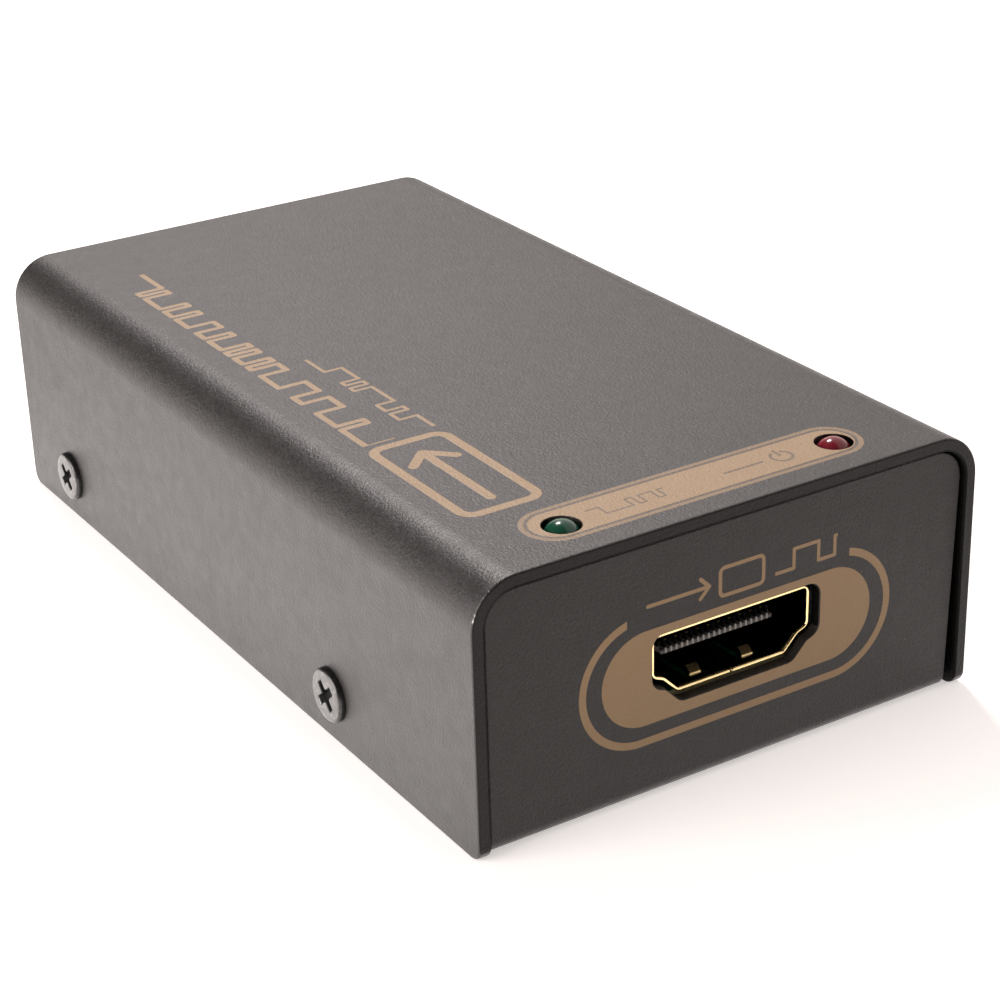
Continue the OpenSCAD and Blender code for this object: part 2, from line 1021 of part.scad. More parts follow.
// Terminal of the switch contact at the side, grown by g
module switch_terminal(g) {
    translate([switch_x, switch_in - g, pin_end_z - board_top])
        block(terminal_t + 2 * g, switch_w + 2 * g, switch_h + board_top - pin_end_z);
}

// Plate riveted to the back of the centre pin, grown by g
module pin_plate(g) {
    translate([0, power_d - g, pin_end_z - board_top])
        block(
            pin_plate_w + 2 * g,
            pin_plate_t + 2 * g,
            power_axis_z + pin_plate_top + board_top - pin_end_z
        );
}

module power_terminals(g) {
    spring_terminal(g);
    switch_terminal(g);
    pin_plate(g);
}

// Round stock along the axis of the power socket, from depth a to depth b
module on_power_axis(a, b, d) {
    translate([0, b, power_axis_z])
        rotate([90, 0, 0])
            cylinder(d = d, h = b - a);
}

module power_jack_housing() {
    color([0.08, 0.08, 0.08])
        at_power_socket()
            difference() {
                union() {
                    block(power_w, power_collar_d, power_h);
                    block(power_w - 2 * power_barrel_trim, power_d, power_axis_z);
                    on_power_axis(0, power_d, power_w - 2 * power_barrel_trim);
                }
                on_power_axis(-cut, power_bore_l, power_bore_d);
                on_power_axis(0, power_d + cut, pin_root_d + 2 * press_clear);
                translate([0, spring_slot_start, spring_slot_z])
                    block(
                        spring_slot_w,
                        spring_slot_end - spring_slot_start,
                        power_axis_z - power_bore_d / 2 - spring_slot_z
                    );
                translate([0, spring_slot_start, spring_slot_z])
                    block(
                        spring_slot_w,
                        power_bore_l - spring_slot_start,
                        power_axis_z - power_bore_d / 4 - spring_slot_z
                    );
                spring_terminal(0);
                switch_terminal(0);
            }
}

module power_jack_pin() {
    color([0.8, 0.8, 0.78])
        at_power_socket() {
            on_power_axis(pin_tip_in + pin_tip_l, power_bore_l, power_pin_d);
            on_power_axis(power_bore_l, power_d, pin_root_d);
            translate([0, pin_tip_in + pin_tip_l, power_axis_z])
                rotate([90, 0, 0])
                    cylinder(d1 = power_pin_d, d2 = pin_tip_d, h = pin_tip_l);
            pin_plate(0);
        }
}

module power_jack_spring() {
    color([0.8, 0.8, 0.78])
        at_power_socket()
            spring_blade();
}

module power_jack_spring_terminal() {
    color([0.8, 0.8, 0.78])
        at_power_socket()
            spring_terminal(0);
}

module power_jack_switch_terminal() {
    color([0.8, 0.8, 0.78])
        at_power_socket()
            switch_terminal(0);
}

// Moulded light: flange, straight body and dome, with its foot at z = 0
module light_body() {
    cylinder(d = led_flange_d, h = led_flange_t);
    cylinder(d = led_d, h = led_len - led_d / 2);
    translate([0, 0, led_len - led_d / 2])
        sphere(d = led_d);
}

module status_led() {
    color([0.05, 0.4, 0.25])
        translate([-led_pitch / 2, led_y, led_base_z])
            light_body();
}

module power_led() {
    color([0.6, 0.05, 0.1])
        translate([led_pitch / 2, led_y, led_base_z])
            light_body();
}

module led_leads() {
    color([0.75, 0.75, 0.75])
        at_lights()
            for (s = [-1, 1])
                translate([s * lead_pitch / 2, 0, pin_end_z - board_top])
                    slab(lead_t, lead_t, led_base_z - pin_end_z);
}

module led_spacers() {
    color([0.85, 0.85, 0.82])
        at_lights()
            difference() {
                cylinder(d = spacer_d, h = led_base_z - board_top);
                for (s = [-1, 1])
                    translate([s * lead_pitch / 2, 0, -cut])
                        slab(lead_channel, lead_channel, led_base_z - board_top + 2 * cut);
            }
}

// A row of n flat pins, centred, pointing along +y from y = 0
module pin_row(n, pitch, w, l, t) {
    for (i = [0:n - 1])
        translate([(i - (n - 1) / 2) * pitch, 0, 0])
            block(w, l, t);
}

module receiver_chip() {
    color([0.15, 0.15, 0.16])
        on_board(0, receiver_y) {
            slab(receiver_size, receiver_size, receiver_h);
            for (a = [0:90:270])
                rotate(a)
                    translate([0, receiver_size / 2, 0])
                        pin_row(
                            receiver_pins,
                            receiver_pin_pitch,
                            receiver_pin_w,
                            receiver_pin_l,
                            receiver_pin_t
                        );
        }
}

module equaliser_chip() {
    color([0.15, 0.15, 0.16])
        on_board(equaliser_share, equaliser_y)
            slab(equaliser_size, equaliser_size, equaliser_h);
}

module memory_chip() {
    color([0.15, 0.15, 0.16])
        on_board(left_share, memory_y) {
            slab(memory_l, memory_w, memory_h);
            for (a = [0, 180])
                rotate(a)
                    translate([0, memory_w / 2, 0])
                        pin_row(
                            memory_pins,
                            memory_pin_pitch,
                            memory_pin_w,
                            memory_pin_l,
                            receiver_pin_t
                        );
        }
}

module line_chokes() {
    color([0.2, 0.2, 0.21])
        translate([net_x, chokes_y, board_top])
            for (i = [0:choke_count - 1])
                translate([(i - (choke_count - 1) / 2) * choke_pitch, 0, 0])
                    slab(choke_w, choke_l, choke_h);
}

// Can of the crystal: a block with round ends, on a wider rim
module stadium(w, l, h) {
    slab(w, l - w, h);
    for (s = [-1, 1])
        translate([0, s * (l - w) / 2, 0])
            cylinder(d = w, h = h);
}

module clock_crystal() {
    color([0.78, 0.78, 0.76])
        on_board(right_share, crystal_y) {
            stadium(crystal_w + 2 * crystal_rim, crystal_l + 2 * crystal_rim, crystal_rim_t);
            stadium(crystal_w, crystal_l, crystal_h);
        }
}

module power_inductor() {
    color([0.25, 0.24, 0.23])
        on_board(right_share, inductor_y) {
            cylinder(d = inductor_waist_d, h = inductor_h);
            for (z = [0, inductor_h - inductor_flange_t])
                translate([0, 0, z])
                    cylinder(d = inductor_d, h = inductor_flange_t);
        }
}

module voltage_regulator() {
    color([0.14, 0.14, 0.15])
        on_board(right_share, regulator_y) {
            slab(regulator_l, regulator_w, regulator_h);
            translate([0, regulator_w / 2, 0])
                block(regulator_tab_w, regulator_lead_l, regulator_lead_t);
            rotate(180)
                translate([0, regulator_w / 2, 0])
                    pin_row(3, regulator_pitch, regulator_lead_w, regulator_lead_l, regulator_lead_t);
        }
}

module electrolytic_capacitors() {
    color([0.8, 0.8, 0.8])
        for (place = [[left_share, left_can_y], [right_share, right_can_y]])
            on_board(place[0], place[1]) {
                slab(can_base, can_base, can_base_h);
                cylinder(d = can_groove_d, h = can_h);
                cylinder(d = can_d, h = can_groove_z);
                translate([0, 0, can_groove_z + can_groove_h])
                    cylinder(d = can_d, h = can_h - can_groove_z - can_groove_h);
            }
}

// Row of n small blocks across the board, centred on y
module chip_row(n, pitch, w, d, h, y) {
    for (i = [0:n - 1])
        translate([(i - (n - 1) / 2) * pitch, y, board_top])
            slab(w, d, h);
}

module ceramic_capacitors() {
    color([0.62, 0.52, 0.4])
        for (y = [ceramic_front_y, ceramic_mid_y])
            chip_row(ceramic_count, ceramic_pitch, ceramic_l, ceramic_w, ceramic_h, y);
}

module chip_resistors() {
    color([0.1, 0.1, 0.1])
        chip_row(resistor_count, resistor_pitch, resistor_l, resistor_w, resistor_h, resistor_y);
}

top_cover();
base_chassis();
cover_screws();
board_standoffs();
board_screws();
main_board();
video_socket_shell();
video_socket_insulator();
video_socket_contacts();
network_jack_housing();
network_jack_shield();
network_jack_wires();
network_jack_tails();
power_jack_housing();
power_jack_pin();
power_jack_spring();
power_jack_spring_terminal();
power_jack_switch_terminal();
status_led();
power_led();
led_leads();
led_spacers();
receiver_chip();
equaliser_chip();
memory_chip();
line_chokes();
clock_crystal();
power_inductor();
voltage_regulator();
electrolytic_capacitors();
ceramic_capacitors();
chip_resistors();
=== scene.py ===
# %% [markdown]
# # A video receiver box, dressed around its CAD frame
#
# The object is the receiving end of a video link: a small steel box with a powder coat,
# a digital video socket in front, two lights on top, and a network and a power socket
# behind. The CAD model already holds every solid at its real size. Here those solids
# get their finish, and the pieces that show most are made again with rounded edges.

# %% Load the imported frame
import math

import bmesh
import bpy
from mathutils import Matrix, Vector
from mathutils.geometry import tessellate_polygon


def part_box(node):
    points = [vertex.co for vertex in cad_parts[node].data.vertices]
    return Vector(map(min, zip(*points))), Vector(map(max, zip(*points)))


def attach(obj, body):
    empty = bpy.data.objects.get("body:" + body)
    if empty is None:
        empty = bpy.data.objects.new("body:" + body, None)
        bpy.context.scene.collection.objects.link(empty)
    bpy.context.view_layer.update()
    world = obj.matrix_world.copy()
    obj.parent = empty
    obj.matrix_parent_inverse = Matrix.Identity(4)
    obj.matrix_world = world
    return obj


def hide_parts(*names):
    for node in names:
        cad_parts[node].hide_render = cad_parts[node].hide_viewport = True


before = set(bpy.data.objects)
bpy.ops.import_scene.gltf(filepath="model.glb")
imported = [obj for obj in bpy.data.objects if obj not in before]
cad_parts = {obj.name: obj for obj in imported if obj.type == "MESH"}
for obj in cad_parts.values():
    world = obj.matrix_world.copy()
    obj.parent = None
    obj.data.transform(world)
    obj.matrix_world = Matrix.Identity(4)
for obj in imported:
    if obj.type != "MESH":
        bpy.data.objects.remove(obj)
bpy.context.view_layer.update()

print("nodes:", len(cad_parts))

# %% [markdown]
# ## Sizes
#
# Blender works in metres here, but a case is easier to think of in millimetres. So
# every size is written in millimetres, and a mesh is turned into metres when it is
# finished. Overall sizes come from the frame, so each piece stays where the CAD has it.

# %% Sizes of the case
MM = 0.001

case_low, case_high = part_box("top_cover")
CASE_W = (case_high.x - case_low.x) / MM
CASE_L = (case_high.y - case_low.y) / MM
CASE_H = case_high.z / MM
FRONT_Y = case_low.y / MM
REAR_Y = case_high.y / MM

chassis_low, chassis_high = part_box("base_chassis")
PANEL_Y = chassis_low.y / MM
REAR_PANEL_Y = chassis_high.y / MM
PANEL_TOP = chassis_high.z / MM
CHASSIS_HALF = chassis_high.x / MM

COVER_T = 1.1
COVER_BEND = 3.8
COVER_FOOT = 1.2
CHASSIS_T = 1.0
CHASSIS_BEND = 1.3
PANEL_CORNER = 2.55
PANEL_LEAN = 0.6
EDGE_ROUND = 0.2
print("case", [round(v, 2) for v in (CASE_W, CASE_L, CASE_H)], "mm")

# %% [markdown]
# ## Camera
#
# The photograph was taken with a long lens from the front left, a little above the
# case. The angles, the distance and the focal length below were solved from the case's
# edges, so the picture's frame matches the photograph without any lens shift.

# %% Camera
PICTURE = 1000
FOCAL_PIXELS = 2454.0
SENSOR = 36.0
AZIMUTH = math.radians(-31.71)
ELEVATION = math.radians(25.22)
ROLL = math.radians(-1.70)
DISTANCE = 218.2 * MM
AIM_RIGHT = 3.86 * MM
AIM_UP = 6.39 * MM


def add_camera():
    """The photograph's camera, built from its own three axes."""
    back = Vector((
        math.sin(AZIMUTH) * math.cos(ELEVATION),
        -math.cos(AZIMUTH) * math.cos(ELEVATION),
        math.sin(ELEVATION),
    ))
    right = Vector((math.cos(AZIMUTH), math.sin(AZIMUTH), 0))
    up = back.cross(right)
    rolled_right = right * math.cos(ROLL) + up * math.sin(ROLL)
    rolled_up = up * math.cos(ROLL) - right * math.sin(ROLL)
    eye = back * DISTANCE + rolled_right * AIM_RIGHT + rolled_up * AIM_UP
    data = bpy.data.cameras.new("photo_camera")
    data.sensor_width = SENSOR
    data.lens = SENSOR * FOCAL_PIXELS / PICTURE
    data.clip_start = 10 * MM
    data.clip_end = 10
    camera = bpy.data.objects.new("photo_camera", data)
    axes = Matrix((rolled_right, rolled_up, back)).transposed()
    camera.matrix_world = Matrix.Translation(eye) @ axes.to_4x4()
    bpy.context.scene.collection.objects.link(camera)
    bpy.context.scene.camera = camera
    return camera


camera = add_camera()
print("lens", round(camera.data.lens, 2), "mm, eye", [round(v / MM, 1) for v in camera.location])

# %% [markdown]
# ## Node trees as Python expressions
#
# A material's maths is easier to read as an expression than as a list of links. This
# class wraps one output socket. Its operators add Math nodes, and node() adds any
# other node from its type, its settings and the values of its inputs.

# %% Node helper
class Wire:
    """An output socket that Python's operators work on."""

    def __init__(self, tree, socket):
        self.tree = tree
        self.socket = socket

    def node(self, kind, settings=None, out=0, **inputs):
        return add_node(self.tree, kind, settings, out, **inputs)

    def math(self, operation, *others, clamp=False):
        made = self.tree.nodes.new("ShaderNodeMath")
        made.operation = operation
        made.use_clamp = clamp
        for place, value in enumerate((self, *others)):
            plug(self.tree, made.inputs[place], value)
        return Wire(self.tree, made.outputs[0])

    def __add__(self, other):
        return self.math("ADD", other)

    def __mul__(self, other):
        return self.math("MULTIPLY", other)

    def __sub__(self, other):
        return self.math("SUBTRACT", other)

    def __rsub__(self, other):
        return (self * -1) + other

    __radd__ = __add__
    __rmul__ = __mul__

    def __abs__(self):
        return self.math("ABSOLUTE")

    def sibling(self, name):
        """Another output of the same node."""
        return Wire(self.tree, self.socket.node.outputs[name])

    def least(self, other):
        return self.math("MINIMUM", other)

    def most(self, other):
        return self.math("MAXIMUM", other)

    def length(self, other):
        """The length of the plane vector (self, other)."""
        return (self * self + other * other).math("SQRT")

    def cells(self, width):
        """The number of the cell of that width that a value is in."""
        return (self * (1 / width)).math("FLOOR")

    def step(self, low, high, first=0.0, last=1.0):
        """first below low, last above high, and a straight ramp between."""
        return self.node(
            "ShaderNodeMapRange", i0=self, i1=low, i2=high, i3=first, i4=last
        )


def plug(tree, socket, value):
    """Links a wire to a socket, or sets the socket's value."""
    if isinstance(value, Wire):
        tree.links.new(value.socket, socket)
    else:
        socket.default_value = value


def add_node(tree, kind, settings=None, out=0, **inputs):
    """A new node, with its settings first and its inputs after. Returns one output."""
    made = tree.nodes.new(kind)
    settings = dict(settings or {})
    stops = settings.pop("stops", None)
    for name, value in settings.items():
        setattr(made, name, value)
    if stops:
        elements = made.color_ramp.elements
        while len(elements) < len(stops):
            elements.new(1)
        for element, (position, colour) in zip(elements, stops):
            element.position = position
            element.color = colour
    for name, value in inputs.items():
        key = int(name[1:]) if name[0] == "i" and name[1:].isdigit() else name.replace("_", " ")
        plug(tree, made.inputs[key], value)
    return Wire(tree, made.outputs[out])


def rgba(red, green, blue):
    return (red, green, blue, 1)


def mix_colour(factor, first, second):
    """first where the factor is 0, second where it is 1."""
    return factor.node(
        "ShaderNodeMix", {"data_type": "RGBA"}, out=2, i0=factor, i6=first, i7=second
    )


class Finish:
    """A material under construction, with its object coordinates in millimetres."""

    def __init__(self, name):
        self.material = bpy.data.materials.new(name)
        self.material.use_nodes = True
        self.tree = self.material.node_tree
        self.tree.nodes.clear()
        place = add_node(self.tree, "ShaderNodeTexCoord", out=3)
        self.place = place.node(
            "ShaderNodeVectorMath", {"operation": "SCALE"}, Vector=place, Scale=1 / MM
        )
        parts = self.place.node("ShaderNodeSeparateXYZ", Vector=self.place)
        self.x, self.y, self.z = (parts.sibling(axis) for axis in range(3))

    def noise(self, size, detail=2.0, roughness=0.5, seed=0.0):
        """Cloudy noise from 0 to 1 whose lumps are about size millimetres across."""
        return self.place.node(
            "ShaderNodeTexNoise", {"noise_dimensions": "4D"},
            Vector=self.place, W=seed, Scale=1 / size, Detail=detail, Roughness=roughness,
        )

    def specks(self, size, share, seed=0.0):
        """1 in small round specks, in about that share of cells of that size."""
        cells = {"voronoi_dimensions": "4D", "feature": "F1"}
        near = self.place.node(
            "ShaderNodeTexVoronoi", cells, Vector=self.place, W=seed, Scale=1 / size
        )
        chance = near.node("ShaderNodeSeparateColor", Color=near.sibling("Color"))
        return near.step(0.03, 0.09, 1.0, 0.0) * chance.step(share, share + 0.01, 1.0, 0.0)

    def bump(self, height, depth, under=None):
        """A normal from a height in 0 to 1, which stands for depth millimetres."""
        inputs = {"Strength": 1.0, "Distance": depth * MM, "Height": height}
        if under is not None:
            inputs["Normal"] = under
        return height.node("ShaderNodeBump", **inputs)

    def done(self, fixed=None, **varying):
        """Closes the tree with a Principled shader."""
        shader = add_node(self.tree, "ShaderNodeBsdfPrincipled")
        sockets = shader.socket.node.inputs
        for name, value in {**(fixed or {}), **varying}.items():
            plug(self.tree, sockets[name.replace("_", " ")], value)
        output = self.tree.nodes.new("ShaderNodeOutputMaterial")
        self.tree.links.new(shader.socket, output.inputs["Surface"])
        return self.material


# %% [markdown]
# ## Bent sheet metal
#
# The cover and the chassis are blanks cut from sheet, folded in a press, then coated.
# They could be boxes with bevels, but a real bend keeps the sheet's thickness, and the
# coat rounds each cut edge by the same small radius. So each one is drawn here as its
# flat blank: outlines with rounded corners, and rings that round the cut edges. The
# blank is sliced where it will bend, and a fold then wraps those slices round the bend.
# Each point carries its exact normal through the fold, so flat faces shade flat.

# %% Outlines of a blank
def corner_path(corners, steps=6):
    """A closed path round (x, y, radius) corners: each point with its right-hand normal."""
    path = []
    for place, (x, y, radius) in enumerate(corners):
        here = Vector((x, y))
        come = (here - Vector(corners[place - 1][:2])).normalized()
        leave = (Vector(corners[(place + 1) % len(corners)][:2]) - here).normalized()
        turn = math.atan2(come.cross(leave), come.dot(leave))
        side = 1 if turn > 0 else -1
        left = Vector((-come.y, come.x)) * side
        centre = here - come * radius * math.tan(abs(turn) / 2) + left * radius
        for step in range(steps + 1):
            spoke = -left
            spoke.rotate(Matrix.Rotation(turn * step / steps, 2))
            path.append((centre + spoke * radius, spoke * side))
    return path


def corner_loop(corners, steps=6):
    """A closed outline through (x, y, radius) corners, with the metal on its left."""
    return [point for point, _ in corner_path(corners, steps)]


def ring_loop(x, y, radius, steps=48):
    """A round hole's outline, turned so that the metal is on its left."""
    turns = [-2 * math.pi * step / steps for step in range(steps)]
    return [Vector((x + radius * math.cos(t), y + radius * math.sin(t))) for t in turns]


def box_loop(x, y, half_x, half_y, radius):
    """A rectangular hole's outline, turned so that the metal is on its left."""
    return corner_loop([
        (x - half_x, y - half_y, radius), (x - half_x, y + half_y, radius),
        (x + half_x, y + half_y, radius), (x + half_x, y - half_y, radius),
    ])


def outward(loop):
    """At each point of a loop, the direction out of the metal and the mitre's reach."""
    found = []
    for place, here in enumerate(loop):
        come = (here - loop[place - 1]).normalized()
        leave = (loop[(place + 1) % len(loop)] - here).normalized()
        first = Vector((come.y, -come.x))
        mean = (first + Vector((leave.y, -leave.x))).normalized()
        found.append((mean, 1 / max(0.4, mean.dot(first))))
    return found


# %% The blank itself
EDGE_STEPS = 4


def cap(bm, rings):
    """Fills the flat face between an outer ring of vertices and its holes."""
    places = [[v.co.copy() for v in ring] for ring in rings]
    verts = [v for ring in rings for v in ring]
    for corner in tessellate_polygon(places):
        if len(set(corner)) == 3:
            try:
                bm.faces.new([verts[i] for i in corner])
            except ValueError:
                pass


def skin(bm, rows):
    """Quads between neighbouring closed rows of vertices."""
    for upper, lower in zip(rows, rows[1:]):
        for place in range(len(upper)):
            after = (place + 1) % len(upper)
            bm.faces.new((upper[place], upper[after], lower[after], lower[place]))


def blank(loops, thickness, edge, hole_edge=None):
    """A flat blank in millimetres: outside at z = 0, inside at z = thickness."""
    bm = bmesh.new()
    normals = bm.verts.layers.float_vector.new("flat_normal")
    angles = [math.pi / 2 * step / EDGE_STEPS for step in range(EDGE_STEPS + 1)]
    rows_of = []
    for loop in loops:
        directions = outward(loop)
        rows = []
        if loop is not loops[0] and hole_edge:
            edge = hole_edge
        for inside in (False, True):
            for angle in (reversed(angles) if inside else angles):
                inset = edge * (1 - math.sin(angle))
                depth = edge * (1 - math.cos(angle))
                row = []
                for here, (mean, reach) in zip(loop, directions):
                    spot = here - mean * reach * inset
                    level = thickness - depth if inside else depth
                    vert = bm.verts.new((spot.x, spot.y, level))
                    rise = math.cos(angle) if inside else -math.cos(angle)
                    flat = mean * math.sin(angle)
                    vert[normals] = Vector((flat.x, flat.y, rise))
                    row.append(vert)
                rows.append(row)
        skin(bm, rows)
        rows_of.append(rows)
    cap(bm, [rows[0] for rows in rows_of])
    cap(bm, [rows[-1] for rows in rows_of])
    return bm


def slices(bm, axis, places):
    """Cuts the mesh by planes across an axis, so that it can bend there."""
    across = Vector((1, 0, 0)) if axis == 0 else Vector((0, 1, 0))
    for place in places:
        bmesh.ops.bisect_plane(
            bm, geom=bm.verts[:] + bm.edges[:] + bm.faces[:], dist=1e-4,
            plane_co=across * place, plane_no=across,
        )


# %% The fold
BEND_STEPS = 14


def bend_cuts(start, radius):
    """The places, along the blank, of the slices of a right-angled bend."""
    arc = radius * math.pi / 2
    return [start + arc * step / BEND_STEPS for step in range(BEND_STEPS + 1)]


def folded(point, normal, axis, side, start, radius):
    """A point and its normal after a right-angled bend towards the inside (z up)."""
    excess = side * point[axis] - start
    if excess <= 0:
        return point, normal
    arc = radius * math.pi / 2
    angle = min(excess, arc) / radius
    beyond = max(0.0, excess - arc)
    reach = radius - point.z
    sine, cosine = math.sin(angle), math.cos(angle)
    moved = point.copy()
    moved[axis] = side * (start + reach * sine + beyond * cosine)
    moved.z = radius - reach * cosine + beyond * sine
    along, out = side * normal[axis], -normal.z
    turned = normal.copy()
    turned[axis] = side * (along * cosine + out * sine)
    turned.z = along * sine - out * cosine
    return moved, turned


def finished_sheet(name, bm, place):
    """The folded mesh as an object in metres, with the fold's own normals."""
    bmesh.ops.dissolve_degenerate(bm, dist=2e-4, edges=bm.edges[:])
    layer = bm.verts.layers.float_vector["flat_normal"]
    normals = []
    for vert in bm.verts:
        spot, normal = place(vert.co.copy(), vert[layer].copy())
        vert.co = spot * MM
        normals.append(normal.normalized())
    bmesh.ops.recalc_face_normals(bm, faces=bm.faces[:])
    if bm.calc_volume(signed=True) < 0:
        bmesh.ops.reverse_faces(bm, faces=bm.faces[:])
    for face in bm.faces:
        face.smooth = True
    mesh = bpy.data.meshes.new(name)
    bm.to_mesh(mesh)
    bm.free()
    mesh.normals_split_custom_set_from_vertices(normals)
    piece = bpy.data.objects.new(name, mesh)
    bpy.context.scene.collection.objects.link(piece)
    return piece


def finish_piece(piece, body, materials, slot, *nodes):
    piece.data.materials.clear()
    for material in materials if isinstance(materials, list) else [materials]:
        piece.data.materials.append(material)
    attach(piece, body)
    if nodes:
        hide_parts(*nodes)
    print(piece.name, len(piece.data.polygons), "faces")
    return piece


# %% [markdown]
# ## The cover
#
# The cover is an upside-down U with two large bends. Its blank is a plain rectangle
# with rounded foot corners, four screw holes and two light holes.

# %% Cover
SCREW_PLACES = [-19.2, 30.9]
SCREW_Z = 4.1
SCREW_HOLE = 1.4
LIGHT_X = 12.45
LIGHT_Y = -36.1
LIGHT_HOLE = 1.5
HOLE_EDGE = 0.08
PILL_EDGE = -32.7
PICTURE_EDGE = -9.9


def cover_blank():
    """The cover's flat blank, centred on the middle of its top."""
    side = CASE_H - COVER_BEND
    arc = COVER_BEND * math.pi / 2
    half_top = CASE_W / 2 - COVER_BEND
    half = half_top + arc + side
    front, rear = FRONT_Y, REAR_Y
    foot = COVER_FOOT
    loops = [corner_loop([
        (-half, front, foot), (half, front, foot), (half, rear, foot), (-half, rear, foot),
    ], steps=10)]
    for x in (-LIGHT_X, LIGHT_X):
        loops.append(ring_loop(x, LIGHT_Y, LIGHT_HOLE))
    for x in (SCREW_Z - half, half - SCREW_Z):
        for y in SCREW_PLACES:
            loops.append(ring_loop(x, y, SCREW_HOLE))
    bm = blank(loops, COVER_T, EDGE_ROUND, HOLE_EDGE)
    for sign in (-1, 1):
        slices(bm, 0, [sign * cut for cut in bend_cuts(half_top, COVER_BEND)])
    slices(bm, 0, [PICTURE_EDGE])
    slices(bm, 1, [PILL_EDGE])
    return bm, half_top


def cover_place(half_top):
    """The cover's two bends, then its turn from a tray into an upside-down U."""
    def place(point, normal):
        for side in (-1, 1):
            point, normal = folded(point, normal, 0, side, half_top, COVER_BEND)
        point.z = CASE_H - point.z
        normal.z = -normal.z
        return point, normal
    return place


cover_bm, cover_half_top = cover_blank()
top_cover = finished_sheet("top_cover_sheet", cover_bm, cover_place(cover_half_top))

# %% [markdown]
# ## The chassis
#
# The chassis is a second folded sheet: a floor, a panel at each end, and four small
# tabs that the cover's screws bite into. Notches beside each tab let it bend without
# tearing the floor. The front panel's right edge leans in towards its foot.

# %% Chassis
PORT_X = 0.3
PORT_Z = 7.8
PORT_CLEAR = 0.35
PORT_CORNERS = [(5.05, 0.0, 0.7), (6.35, 1.35, 0.9), (7.4, 1.75, 0.7), (7.4, 5.35, 0.7)]
HOLLOW_CORNERS = {1, 6}
TAB_HALF = 4.5
TAB_HEIGHT = 6.5
RELIEF = 0.6
STEM_HOLES = [(17.2, -29.5), (17.2, 19.45)]
STEM_HOLE, TAB_HOLE = 2.12, 1.27
CHASSIS_EDGE, NOTCH_ROUND = 0.15, 0.25
REAR_OPENING_FOOT = 7.3
REAR_OPENINGS = [(-9.0, 8.4, 19.4), (10.0, 4.8, 18.9)]  # middle, half width, top
print("rear openings", [2 * half for _, half, _ in REAR_OPENINGS], "mm wide")


def port_corners(grow):
    """The video socket's outline, grown outwards, as corners in clockwise order."""
    right = [Vector(c[:2]) for c in PORT_CORNERS]
    loop = [(Vector((-p.x, p.y)), r) for p, (_, _, r) in zip(right, PORT_CORNERS)]
    loop += [(p, r) for p, (_, _, r) in reversed(list(zip(right, PORT_CORNERS)))]
    points = [p for p, _ in loop]
    grown = []
    for place, (here, radius) in enumerate(loop):
        come = (here - points[place - 1]).normalized()
        leave = (points[(place + 1) % len(points)] - here).normalized()
        first, second = Vector((-come.y, come.x)), Vector((-leave.y, leave.x))
        mean = (first + second).normalized()
        spot = here + mean * grow / mean.dot(first)
        size = radius - grow if place in HOLLOW_CORNERS else radius + grow
        grown.append((spot.x, spot.y, max(0.05, size)))
    return grown


def chassis_blank():
    """The chassis's flat blank: floor, end panels and tabs, with all its holes."""
    r, w = CHASSIS_BEND, CHASSIS_HALF
    arc = r * math.pi / 2
    front, rear = PANEL_Y, REAR_PANEL_Y
    panel_front = front + r - arc
    panel_rear = rear - r + arc
    rise = PANEL_TOP - r
    corner, lean, small = PANEL_CORNER, PANEL_LEAN, NOTCH_ROUND
    tab_out = w - r + arc + TAB_HEIGHT - r
    right = []
    for y in SCREW_PLACES:
        right += [
            (w, y - TAB_HALF - RELIEF, small), (w - r, y - TAB_HALF - RELIEF, small),
            (w - r, y - TAB_HALF, small), (tab_out, y - TAB_HALF, small),
            (tab_out, y + TAB_HALF, small), (w - r, y + TAB_HALF, small),
            (w - r, y + TAB_HALF + RELIEF, small), (w, y + TAB_HALF + RELIEF, small),
        ]
    left = [(-x, y, s) for x, y, s in reversed(right)]
    outline = (
        [(-w, panel_front - rise, corner), (w, panel_front - rise, corner),
         (w, panel_front - rise + corner + 0.1, small), (w - lean, front + r, small),
         (w, front + r + 0.3, small)]
        + right
        + [(w, panel_rear + rise, corner), (-w, panel_rear + rise, corner)]
        + left
    )
    loops = [corner_loop(outline, steps=6)]
    port = reversed(port_corners(PORT_CLEAR))
    port_foot = panel_front + r - PORT_Z
    loops.append(corner_loop([(PORT_X + x, port_foot - z, s) for x, z, s in port]))
    for x, half_x, top in REAR_OPENINGS:
        middle = (REAR_OPENING_FOOT + top) / 2
        half_z = (top - REAR_OPENING_FOOT) / 2
        loops.append(box_loop(x, panel_rear + middle - r, half_x, half_z, NOTCH_ROUND))
    for x, y in STEM_HOLES:
        loops += [ring_loop(s * x, y, STEM_HOLE) for s in (-1, 1)]
    for y in SCREW_PLACES:
        out = w - r + arc + SCREW_Z - r
        loops += [ring_loop(s * out, y, TAB_HOLE, 32) for s in (-1, 1)]
    bm = blank(loops, CHASSIS_T, CHASSIS_EDGE)
    slices(bm, 1, [front + r - (c - (w - r)) for c in bend_cuts(w - r, r)])
    slices(bm, 1, [rear - r + (c - (w - r)) for c in bend_cuts(w - r, r)])
    for side in (-1, 1):
        slices(bm, 0, [side * c for c in bend_cuts(w - r, r)])
    return bm


def chassis_place(point, normal):
    """The chassis's bends: the tabs across x, the end panels across y."""
    r, w = CHASSIS_BEND, CHASSIS_HALF
    if any(abs(point.y - y) < TAB_HALF + 0.05 for y in SCREW_PLACES):
        for side in (-1, 1):
            point, normal = folded(point, normal, 0, side, w - r, r)
    point, normal = folded(point, normal, 1, -1, -PANEL_Y - r, r)
    return folded(point, normal, 1, 1, REAR_PANEL_Y - r, r)


base_chassis = finished_sheet("base_chassis_sheet", chassis_blank(), chassis_place)

